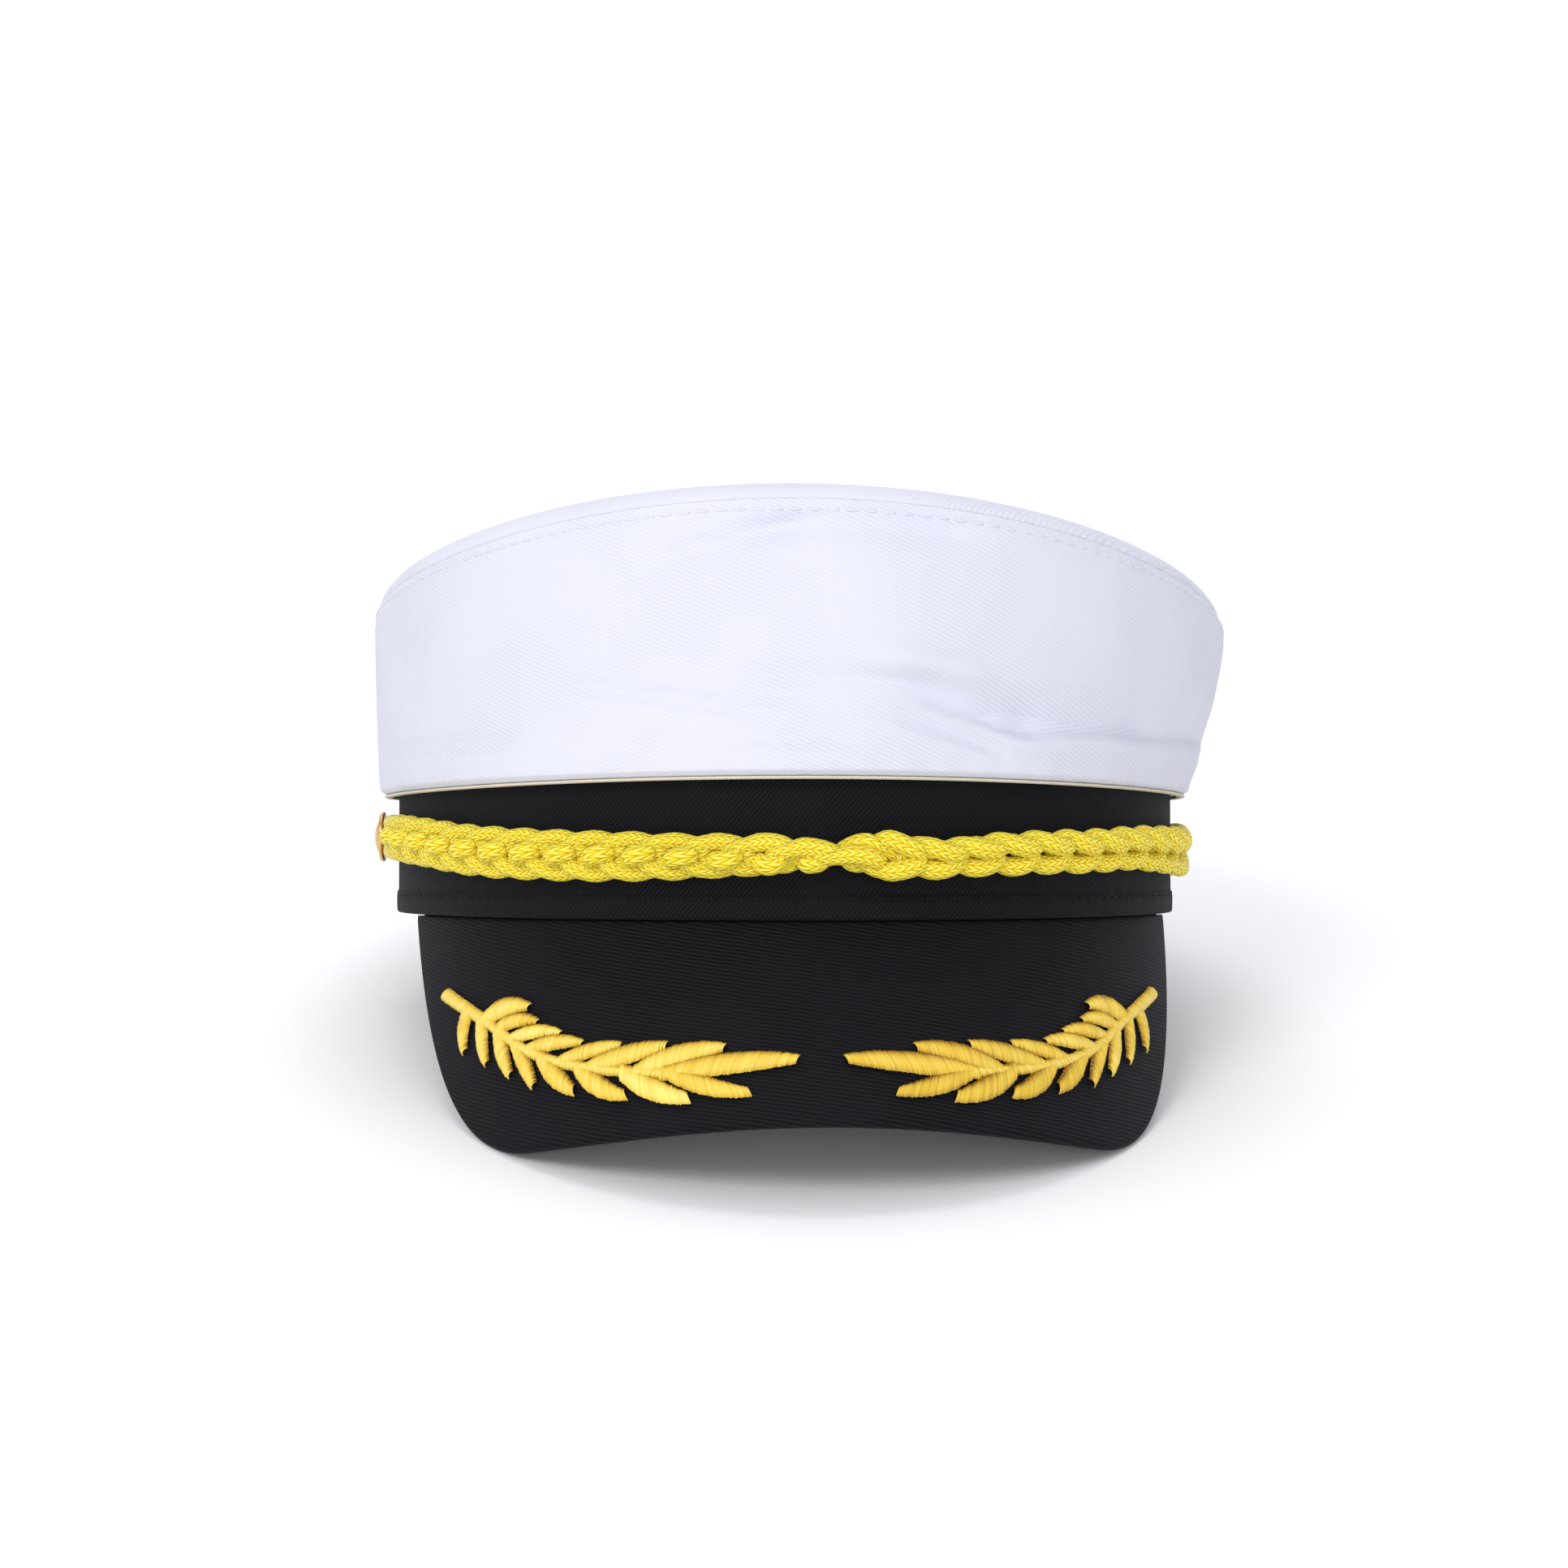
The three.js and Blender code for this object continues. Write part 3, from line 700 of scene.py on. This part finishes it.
# The peak
# It is a bent board covered in ribbed black cloth, with a rounded edge. It is sewn under the band, and
# slopes forwards and down, more steeply at its sides.
peak_length = 47
peak_side_length = 54
peak_front_angle = 51.5
peak_side_angle = 65
peak_half_angle = 69
peak_end_reach = 2.5
peak_flare = 1.5
peak_lean = 0.8
peak_wall = 2.4
peak_inset = 0.8
corner_share = 0.57
corner_shape = 2.3


def side_share(across):
    return np.sin(across * math.pi / 2) ** 2


def peak_face(across, along):
    """A place on the peak's upper face: across it from -1 to 1, and so many millimetres down it."""
    slope = np.radians(mixed(peak_front_angle, peak_side_angle, side_share(across)))
    place = oval_point(across * math.radians(peak_half_angle), -peak_inset, -seat_gap)
    x = place[..., 0] + (peak_flare * across + peak_lean) * along / peak_length
    return np.stack([x, place[..., 1] - along * np.cos(slope), place[..., 2] - along * np.sin(slope)], -1)


def peak_point(across, along, lift):
    """A place over the peak's upper face."""
    across, along, lift = np.broadcast_arrays(across, along, lift)
    step = 1e-3
    sideways = peak_face(across + step, along) - peak_face(across - step, along)
    downwards = peak_face(across, along + step) - peak_face(across, along - step)
    normal = np.cross(downwards, sideways)
    normal /= np.linalg.norm(normal, axis=-1, keepdims=True)
    return peak_face(across, along) + normal * lift[..., None]


def peak_reach(across):
    full = mixed(peak_length, peak_side_length, side_share(across))
    past_corner = np.clip((np.abs(across) - corner_share) / (1 - corner_share), 0, 1)
    return mixed(full, peak_end_reach, past_corner**corner_shape)


# Its columns are closer together towards the ends, where the edge turns in.
peak_columns = 240
widest_turn = math.radians(77)
peak_across = np.sin(np.linspace(-widest_turn, widest_turn, peak_columns + 1)) / math.sin(widest_turn)
peak_round = peak_wall / 2
rim_turns = np.radians(np.linspace(90, -90, 9))[1:-1, None]
flat_reach = peak_reach(peak_across)[None] - peak_round
peak_upper = peak_point(peak_across[None], flat_reach * np.linspace(0, 1, 40)[:, None], 0.0)
peak_rim = peak_point(
    peak_across[None],
    flat_reach + peak_round * np.cos(rim_turns),
    -peak_round + peak_round * np.sin(rim_turns),
)
peak_under = peak_point(peak_across[None], flat_reach * np.linspace(1, 0, 20)[:, None], -peak_wall)
peak_rows = np.concatenate([peak_upper, peak_rim, peak_under])
peak_rows[..., 2] = np.minimum(peak_rows[..., 2], -seat_gap)
# Its seam allowance goes under the band and up inside it.
allowance_places = np.array([(-3.3, -0.9), (-3.4, 0), (-3.4, 5), (-2.5, 5), (-2.5, 0.1), (-2.3, -seat_gap)])
allowance_out, allowance_rise = allowance_places.T[..., None]
allowance_rise = allowance_rise * np.where(allowance_rise > 1, 1 - peak_across**8, 1)
allowance = oval_point(peak_across * math.radians(peak_half_angle), allowance_out, allowance_rise)
peak_rows = np.concatenate([peak_rows, allowance, peak_upper[:1]])
row_ends = [np.broadcast_to(peak_rows[:, k].mean(axis=0), (len(peak_rows), 1, 3)) for k in (0, -1)]
peak_points = np.concatenate([row_ends[0], peak_rows, row_ends[1]], axis=1).transpose(1, 0, 2)
peak_half_arc = way_along(peak_face(np.linspace(0, 1, 41), 0.0))[-1]
peak_way = way_along(peak_points.transpose(1, 0, 2)).T
peak_sideways = np.concatenate([[-1.0], peak_across, [1.0]]) * peak_half_arc
peak_cloth = np.stack([np.broadcast_to(peak_sideways[:, None], peak_way.shape), -peak_way], -1)
peak_twill = twill_cloth(
    "peak_twill",
    dark=(0.0008, 0.0008, 0.0013),
    light=(0.0095, 0.0095, 0.0135),
    rib_pitch=0.9,
    rib_angle=-10,
    roughness=0.7,
    **black_cotton,
)
peak = closed_piece("peak_board", peak_points, peak_cloth, peak_twill)
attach(peak, "root")
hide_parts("peak")

# The leaf sprays
# Each is a stem with two rows of leaves in satin stitch: shiny gold thread laid side by side across every
# leaf over a padded middle, on the peak's cloth.
spray_end_margin = 19.5
spray_edge_margin = 10.7
stem_widths = [(0, 3.5), (0.14, 3.2), (0.3, 2.4), (1, 1.9)]
leaf_length = 12
leaf_width = 3.6
thread_height = 0.9
thread_pitch = 0.3
thread_thickness = 0.36
# The stem from its outer end to its tip, as shares of its reach across the peak and down it.
stem_stops = [(1, 0.49), (0.84, 0.64), (0.68, 0.84), (0.51, 0.94), (0.335, 0.98)]
stem_reach = np.array([peak_half_arc - spray_end_margin, peak_length - spray_edge_margin])
stem_places = np.array(stem_stops) * stem_reach
# In a row: at what share of the stem the leaf leaves it, by how many degrees it turns down from level, its
# length and its width as shares of the usual ones, and how many degrees it bends.
upper_leaves = [
    (0.25, -11, 1.17, 1.17, 46),
    (0.32, -7, 1, 0.9, 44),
    (0.39, -5, 1.15, 0.85, 33),
    (0.47, -5, 1.2, 0.95, 28),
    (0.61, -13, 1.25, 0.9, 18),
    (0.72, -14, 1.5, 1.2, 10),
    (0.89, -14, 1.6, 1.25, 27),
    (0.98, -5, 2.25, 1.35, 9),
]
lower_leaves = [
    (0.155, 92, 0.8, 1.15, -52),
    (0.235, 76, 0.85, 1.1, -24),
    (0.33, 66, 0.87, 1.2, -20),
    (0.415, 59, 0.9, 1.15, 10),
    (0.535, 40, 0.95, 1.35, -18),
    (0.685, 29, 1.08, 1.3, -40),
    (0.845, 23, 1.27, 1.4, -27),
    (1, 15, 1.38, 1.2, -20),
]
upper_half_widths = [(0, 0.6), (0.25, 0.93), (0.5, 1), (0.75, 0.85), (0.92, 0.58), (1, 0.42)]
lower_half_widths = [(0, 0.7), (0.3, 1), (0.55, 0.97), (0.8, 0.75), (1, 0.45)]
thread_slant = 30
padded_half_width = 1.1
# The threads differ at random in how far they reach, how high they lie and how light they are.
width_jag = (-0.1, 0.12)
height_jag = (-0.04, 0.04)
tone_jag = (-0.12, 0.12)
leaf_tones = (0.58, 0.86)
# Painted shade: the threads are darker on a leaf's upper side and towards both its edges.
upper_side_shade = 0.5
thread_end_shade = 0.3
jag = np.random.default_rng(7)


def headings(line):
    """The direction of a line at each of its places."""
    ahead = np.gradient(line, axis=0)
    return ahead / np.linalg.norm(ahead, axis=1, keepdims=True)


def satin(route, half_widths, slant):
    """The threads across a strip, each turned by the slant from straight across.

    A thread is a line of places on the peak: how far from the middle, how far down from the band, how high
    over the cloth, and how light the thread is, darkened by a painted shade on the leaf's upper side and at
    the thread's ends.
    """
    way = way_along(route)
    count = max(int(way[-1] / thread_pitch), 3)
    ahead = headings(route)
    lines = []
    over = np.linspace(-1, 1, 7)
    leaf_tone = jag.uniform(*leaf_tones)
    for k in range(count + 1):
        here = way[-1] * k / count
        middle = np.array([np.interp(here, way, route[:, i]) for i in (0, 1)])
        heading = np.array([np.interp(here, way, ahead[:, i]) for i in (0, 1)])
        half = np.interp(here, way, half_widths) + jag.uniform(*width_jag)
        sideways = np.array([-heading[1], heading[0]])
        places = middle + over[:, None] * half * (sideways + heading * math.tan(math.radians(slant)))
        padding = thread_height * min(1, half / padded_half_width)
        lift = 0.05 + padding * np.sqrt(1 - 0.97 * over**2) + jag.uniform(*height_jag)
        upwards = np.clip((middle[1] - places[:, 1]) / max(half, 0.3), 0, 1)
        tone_and_shade = leaf_tone + jag.uniform(*tone_jag)
        # Painted shade darkens the thread on the leaf's upper side and at its ends.
        tone_and_shade = tone_and_shade - upper_side_shade * upwards**1.5 - thread_end_shade * over**4
        lines.append(np.column_stack([places, lift, tone_and_shade]))
    return lines


def leaf_threads(leaf, half_widths, slant):
    at, turn, long, wide, bend = leaf
    shares = np.linspace(0, 1, 12)
    turns = np.radians(turn + bend * (shares[:-1] - 0.5))
    steps = np.stack([-np.cos(turns), np.sin(turns)], -1) * long * leaf_length / len(turns)
    route = smooth_line(stem_places, [at]) + np.concatenate([[[0, 0]], np.cumsum(steps, axis=0)])
    half = np.interp(shares, *zip(*half_widths)) * wide * leaf_width / 2
    return satin(route, half, slant)


# Threads: each line of the base mesh becomes one round thread.
laying, given, result = new_group(
    "laid_threads",
    {"Lines": "Geometry", "Thread Thickness": "Float", "Thread Sides": "Int", "Thread Material": "Material"},
    {"Threads": "Geometry"},
    "GeometryNodeTree",
)
lines = add_node(laying, "GeometryNodeMeshToCurve", {"Mesh": given["Lines"]})
half_thickness = reckon(laying, "MULTIPLY", given["Thread Thickness"], 0.5)
ring = add_node(
    laying,
    "GeometryNodeCurvePrimitiveCircle",
    {"Resolution": given["Thread Sides"], "Radius": half_thickness},
)
swept = add_node(
    laying,
    "GeometryNodeCurveToMesh",
    {"Curve": lines.outputs[0], "Profile Curve": ring.outputs[0], "Fill Caps": True},
)
hand_over(laying, swept.outputs[0], given["Thread Material"], result)


def three_colours(tree, share, dark, middle_place, middle, light):
    ramp = add_node(tree, "ShaderNodeValToRGB", {"Fac": share})
    stops = ramp.color_ramp.elements
    stops[0].color = (*dark, 1)
    stops[1].color = (*light, 1)
    stops.new(middle_place).color = (*middle, 1)
    return ramp.outputs[0]


gold_thread, tree, surface = new_material("gold_thread", {})
# Each thread's lightness holds its random colour, less the painted shade laid on in the satin.
tone_and_shade = add_node(tree, "ShaderNodeAttribute", attribute_name="tone_and_shade").outputs["Fac"]
gold = three_colours(tree, tone_and_shade, (0.3, 0.14, 0.002), 0.5, (0.8, 0.54, 0.04), (0.97, 0.84, 0.24))
tree.links.new(gold, surface["Base Color"])
fibres = object_noise(tree, 2500, 2)
raise_bumps(tree, surface, fibres, 0.03)
tree.links.new(reckon(tree, "MULTIPLY_ADD", fibres, 0.2, 0.22), surface["Roughness"])


def spray(name, side, shade):
    """A spray on the left side, -1, or the right side, 1. Its shade is painted shade: it makes the thread
    darker, for the spray that lies away from the key light.
    """
    stem_shares = np.linspace(0, 1, 40)
    half_stem = np.interp(stem_shares, *zip(*stem_widths)) / 2
    lines = satin(smooth_line(stem_places, stem_shares), half_stem, thread_slant)
    for leaf in upper_leaves:
        lines += leaf_threads(leaf, upper_half_widths, thread_slant)
    for leaf in lower_leaves:
        lines += leaf_threads(leaf, lower_half_widths, -thread_slant)
    vertices = []
    edges = []
    tones_and_shades = []
    for line in lines:
        first = len(vertices)
        places = peak_point(side * line[:, 0] / peak_half_arc, line[:, 1], line[:, 2] + seat_gap)
        vertices.extend(at_rest(places).tolist())
        edges.extend((first + k, first + k + 1) for k in range(len(line) - 1))
        tones_and_shades.extend((line[:, 3] - shade).tolist())
    mesh = bpy.data.meshes.new(name + "_lines")
    mesh.from_pydata(vertices, edges, [])
    mesh.attributes.new("tone_and_shade", "FLOAT", "POINT").data.foreach_set("value", tones_and_shades)
    values = {"Thread Thickness": thread_thickness * mm, "Thread Sides": 4, "Thread Material": gold_thread}
    return grown(name, mesh, laying, values)


# The right spray is given a painted shade, as it lies away from the key light.
for name, side, shade in (("spray_left", -1, 0), ("spray_right", 1, 0.15)):
    threads = spray(name + "_threads", side, shade)
    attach(threads, "root")
    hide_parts(name)

# The braid
# It is one knitted yellow cord, hand-worked into a chain of loops. It lies across the front of the band,
# turned over at the middle, and an end loop goes round each button's shank.
button_angle = math.radians(92)
cord_thickness = 3.8
braid_half_height = 2.85
braid_half_depth = 1.8
braid_out = 4.4
braid_stitches = 35
knit_pitch = 1.6
knit_columns = 7
# The height of the braid's middle by the angle round the head.
braid_heights = [
    (-92, 17.05), (-78, 17), (-68, 16.6), (-58, 15.5), (-50, 14.2), (-42, 13.4), (-30, 12.8), (0, 12.4),
    (15, 12.8), (22, 13.8), (31, 14.4), (38, 14.6), (48, 15.4), (58, 15.1), (68, 14.7), (92, 14.6),
]
# The width of the chain by the angle, as shares of its usual one. It is narrow where it turns over.
chain_widths = [
    (-60, 1.15), (-45, 1.2), (-25, 1.12), (-18, 1), (-9, 0.85), (-3, 0.8), (3, 0.4), (7, 0.95), (9, 1.1),
    (13, 0.85), (17, 0.8), (24, 0.97), (48, 1.05), (66, 1.35), (84, 1.5),
]
# Under the buttons the chain is pressed flat. By the angle: 0 is free, and 1 is flat.
chain_pressing = [(-83, 1), (-62, 0), (54, 0), (82, 1)]
pressed_thickness = 3.2
pressed_depth = 0.15
pressed_out = 1.95


def braid_middle(angle):
    return np.interp(np.degrees(angle), *zip(*braid_heights))


# The chain's cord by its stitches: how far along in stitches from the right button, how far aside, and how
# far out of the chain's face. It goes round the right shank first. In each stitch two legs rise out of the
# last loop, spread, and meet in a head behind the next legs, and a bump behind leads on. The last head goes
# round the left shank.
first_stops = [(0.6, -0.3, -1), (0.1, -0.9, -0.3), (-0.25, -0.7, 0), (-0.42, 0, 0), (-0.25, 0.7, 0)]
stitch_stops = [
    (0, 0.45, 0.3), (0.3, 0.75, 0.85), (0.7, 1, 0.7), (1.1, 0.95, -0.1), (1.38, 0.4, -0.35),
    (1.45, 0, -0.35), (1.38, -0.4, -0.35), (1.1, -0.95, -0.1), (0.7, -1, 0.7), (0.3, -0.75, 0.85),
    (0, -0.45, 0.3), (0.24, -0.3, -0.2), (0.34, -0.12, -1.2), (0.5, 0, -1.6), (0.66, 0.12, -1.2),
    (0.76, 0.3, -0.2),
]
last_stops = [
    (0, 0.45, 0), (0.35, 0.85, 0.6), (0.75, 1, 0.4), (1.2, 0.75, 0), (1.42, 0, 0), (1.2, -0.75, 0),
    (0.75, -1, 0.4), (0.35, -0.85, 0.6), (0, -0.45, 0), (-0.2, -0.2, -0.8),
]
# The turn of the chain about its own middle, in degrees, by the angle round the head: 0 shows the loops and
# 180 their backs.
chain_turns = [(-100, 183), (-18, 182), (-8, 165), (2.5, 90), (9, 5), (17, -38), (62, -42), (84, -8)]
chain = list(first_stops)
for stitch in range(braid_stitches - 1):
    chain += [(stitch + along, aside, out) for along, aside, out in stitch_stops]
chain += [(braid_stitches - 1 + along, aside, out) for along, aside, out in last_stops]
along, aside, out = smooth_line(chain, np.linspace(0, 1, len(chain) * 4)).T
chain_angle = mixed(button_angle, -button_angle, along / braid_stitches)
chain_degrees = np.degrees(chain_angle)
# The bumps are drawn in where the chain turns over and where its loops show.
drawn_in = np.interp(chain_degrees, [-9, 0], [1, 0.42])
out = np.where(out < 0, out * drawn_in, out)
half_height = braid_half_height * np.interp(chain_degrees, *zip(*chain_widths))
pressed = np.interp(chain_degrees, *zip(*chain_pressing))
pressed = pressed**2 * (3 - 2 * pressed)
roll = np.radians(np.interp(chain_degrees, *zip(*chain_turns)))
chain_rise = (aside * np.cos(roll) + out * np.sin(roll)) * half_height
chain_out = (out * np.cos(roll) - aside * np.sin(roll)) * mixed(braid_half_depth, pressed_depth, pressed)
chain_line = oval_point(
    chain_angle,
    mixed(braid_out, pressed_out, pressed) + chain_out,
    braid_middle(chain_angle) + chain_rise,
)
# The cord is squeezed where it goes through a loop.
squeezed = 0.82
plump = 1.04
loose = np.clip(np.abs(out) / 0.6, 0, 1)
cord_thicknesses = mixed(cord_thickness, pressed_thickness, pressed) * mixed(squeezed, plump, loose)


def cord_tube(name, line, thicknesses, sides, material):
    """A round cord along a line of places on the upright hat, with its knit measured along and round it."""
    way = way_along(line)
    ahead = headings(line)
    aside = np.zeros_like(ahead)
    aside[0] = np.cross(ahead[0], (0, 0, 1))
    aside[0] /= np.linalg.norm(aside[0])
    # Each ring is turned on from the last one without a twist.
    for k in range(1, len(line)):
        carried = aside[k - 1] - ahead[k] * aside[k - 1].dot(ahead[k])
        aside[k] = carried / np.linalg.norm(carried)
    third = np.cross(ahead, aside)
    turns = np.linspace(0, math.tau, sides + 1)[:, None]
    reach = aside[:, None] * np.cos(turns) + third[:, None] * np.sin(turns)
    skin = line[:, None] + reach * thicknesses[:, None, None] / 2
    ends = [np.repeat(line[k][None, None], sides + 1, axis=1) for k in (0, -1)]
    points = np.concatenate([ends[0], skin, ends[1]])
    along = np.concatenate([[way[0]], way, [way[-1]]])
    cloth = np.stack(np.broadcast_arrays(along[:, None], turns.T / math.tau / mm), -1)
    return closed_piece(name, points, cloth, material), way[-1]


# Knitting: columns of V stitches along the cord. Each V has two slanting legs, with a furrow between
# stitches and between columns.
knit, given, result = new_group(
    "knitting",
    {"Cord": "Vector", "Stitch Pitch": "Float", "Columns": "Float"},
    {"Height": "Float"},
)
split = add_node(knit, "ShaderNodeSeparateXYZ", {"Vector": given["Cord"]})
column = reckon(knit, "FRACT", reckon(knit, "MULTIPLY", split.outputs["Y"], given["Columns"]))
from_middle = reckon(knit, "ABSOLUTE", reckon(knit, "MULTIPLY_ADD", column, 2, -1))
row_place = reckon(knit, "DIVIDE", split.outputs["X"], given["Stitch Pitch"])
slanted = reckon(knit, "MULTIPLY_ADD", from_middle, 0.9, row_place)
leg = reckon(knit, "POWER", wave(knit, slanted, -0.5, 0.5), 0.6)
column_edge = reckon(knit, "POWER", from_middle, 4)
column_middle = reckon(knit, "POWER", reckon(knit, "SUBTRACT", 1, from_middle), 5)
sides = reckon(knit, "SUBTRACT", 1, reckon(knit, "MULTIPLY_ADD", column_middle, 0.6, column_edge))
height = reckon(knit, "MULTIPLY", leg, reckon(knit, "MAXIMUM", sides, 0))
knit.links.new(height, result["Height"])

yellow_cord, tree, surface = new_material(
    "yellow_cord",
    {
        "Roughness": 0.38,
        "Specular IOR Level": 0.2,
        "Subsurface Weight": 0.3,
        "Subsurface Radius": (1, 0.7, 0.08),
        "Subsurface Scale": 0.8 * mm,
    },
)
stitch = add_node(
    tree,
    "ShaderNodeGroup",
    {
        "Cord": add_node(tree, "ShaderNodeUVMap", uv_map="cloth").outputs[0],
        "Stitch Pitch": knit_pitch * mm,
        "Columns": knit_columns,
    },
    node_tree=knit,
).outputs["Height"]
# The hollows between the stitches are painted dark orange, a painted shade, and the tops of the legs pale
# yellow, a painted highlight.
yellow = three_colours(tree, stitch, (0.58, 0.26, 0.001), 0.2, (1, 0.75, 0.008), (1, 0.94, 0.19))
tree.links.new(yellow, surface["Base Color"])
raise_bumps(tree, surface, stitch, 0.38)
braid, braid_cord_length = cord_tube("chain_braid", chain_line, cord_thicknesses, 18, yellow_cord)
print("braid cord length", round(braid_cord_length), "mm,", len(braid.data.polygons), "faces")
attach(braid, "root")
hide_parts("braid")

# The buttons
# Each is a small gilt button with a rolled rim and a low dome. Its shank goes through the braid's end loop
# into the band.
button_radius = 5.8
button_shank_radius = 1.6
cap_height = 3.5
# How far from the middle, and how far out of the band.
button_profile = [
    (0, 0), (1, 0), (1.35, 0.1), (button_shank_radius, 0.4), (button_shank_radius, 3), (1.7, cap_height),
    (5.2, cap_height), (5.6, 3.55), (button_radius, 3.9), (5.75, 4.3), (5.45, 4.6), (5.05, 4.62),
    (4.75, 4.45), (4.4, 4.5), (3.6, 5.1), (2.4, 5.6), (1.2, 5.85), (0, 5.9),
]
gilt, tree, surface = new_material("gilt", {"Metallic": 0.95})
cloudy = object_noise(tree, 600, 4)
tree.links.new(mixed_colour(tree, cloudy, (0.68, 0.38, 0.14), (0.85, 0.56, 0.27)), surface["Base Color"])
tree.links.new(reckon(tree, "MULTIPLY_ADD", cloudy, 0.2, 0.2), surface["Roughness"])


def button(name, angle):
    """A button: its profile, turned round the line that points out of the band."""
    outwards = oval_normal(angle)
    seat = oval_point(angle, seat_gap, braid_middle(angle))
    sideways = np.cross((0, 0, 1), outwards)
    turns = np.linspace(0, math.tau, 49)
    radius, rise = np.array(button_profile).T
    ring = sideways * np.cos(turns)[:, None] + np.array((0, 0, 1)) * np.sin(turns)[:, None]
    points = seat + outwards * rise[:, None, None] + ring[None] * radius[:, None, None]
    cloth = np.stack(np.broadcast_arrays(turns[None], rise[:, None]), -1)
    return closed_piece(name, points, cloth, gilt)


for name, angle in (("button_left", -button_angle), ("button_right", button_angle)):
    cap = button(name + "_gilt", angle)
    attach(cap, "root")
    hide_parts(name)

# The table, the light and the view
# The hat stands on a pale paper sweep in a bright even room. One large soft light is above its front, one
# before it, and one over the backdrop. The camera is level with the band, a little to the left.
paper_values = {"Base Color": (0.94, 0.94, 0.945, 1), "Roughness": 0.9}
paper, tree, surface = new_material("pale_paper", paper_values)
sweep_side = 3.0
sweep_front = -1.5
sweep_back = 1.2
sweep_radius = 0.6
sweep_rows = [(sweep_front, 0.0), (sweep_back, 0.0)]
for turn in np.radians(np.linspace(7.5, 90, 12)):
    sweep_rows.append((sweep_back + sweep_radius * math.sin(turn), sweep_radius * (1 - math.cos(turn))))
sweep_rows.append((sweep_back + sweep_radius, 2.5))
sweep_points = [(x, y, z - 0.0001) for y, z in sweep_rows for x in (-sweep_side, sweep_side)]
sweep_faces = [(2 * k, 2 * k + 1, 2 * k + 3, 2 * k + 2) for k in range(len(sweep_rows) - 1)]
sweep_mesh = bpy.data.meshes.new("paper_sweep")
sweep_mesh.from_pydata(sweep_points, [], sweep_faces)
sweep_mesh.polygons.foreach_set("use_smooth", [True] * len(sweep_faces))
sweep_mesh.materials.append(paper)
sweep = new_object("paper_sweep", sweep_mesh)

room = bpy.data.worlds.new("studio_room")
room.use_nodes = True
brightness = room.node_tree.nodes["Background"].inputs
brightness["Color"].default_value = (0.94, 0.96, 1, 1)
brightness["Strength"].default_value = 0.7
bpy.context.scene.world = room


def soft_light(name, place, aim, width, power, colour):
    lamp = bpy.data.lights.new(name, "AREA")
    lamp.shape = "DISK"
    lamp.size = width
    lamp.energy = power
    lamp.color = colour
    holder = new_object(name, lamp)
    holder.location = place
    holder.rotation_euler = (Vector(aim) - Vector(place)).to_track_quat("-Z", "Y").to_euler()


over_the_front = (-0.75, -1.05, 1.15)
before_the_hat = (0.1, -1.7, 0.35)
over_the_back = (0, 0.7, 1.9)
soft_light("key_light", over_the_front, (0, 0, 0.06), width=0.8, power=9.8, colour=(1, 0.995, 0.985))
soft_light("front_light", before_the_hat, (0, 0, 0.04), width=0.9, power=8.3, colour=(0.98, 0.985, 1))
soft_light("backdrop_light", over_the_back, (0, 1.9, 0.2), width=1.2, power=14, colour=(1, 1, 1))

view_azimuth = math.radians(-3.2)
view_pitch = math.radians(1.39)
view_distance = 652
view_height = 13.5
focal_pixels = 3458
photo_pixels = 1932
level = np.array([-math.sin(view_azimuth), math.cos(view_azimuth), 0])
camera_place = np.array([0, 0, view_height]) - level * view_distance
forwards = level * math.cos(view_pitch) + np.array([0, 0, math.sin(view_pitch)])
rightwards = np.array([math.cos(view_azimuth), math.sin(view_azimuth), 0])
upwards = np.cross(rightwards, forwards)
lens = bpy.data.cameras.new("photo_camera")
lens.sensor_width = 36
lens.lens = lens.sensor_width * focal_pixels / photo_pixels
lens.clip_start = 0.01
camera = new_object("photo_camera", lens)
axes = tilt_back([rightwards, upwards, -forwards])
camera.matrix_world = Matrix.Translation(at_rest(camera_place)) @ Matrix(axes.T.tolist()).to_4x4()
bpy.context.scene.camera = camera
bpy.context.scene.view_settings.view_transform = "Standard"
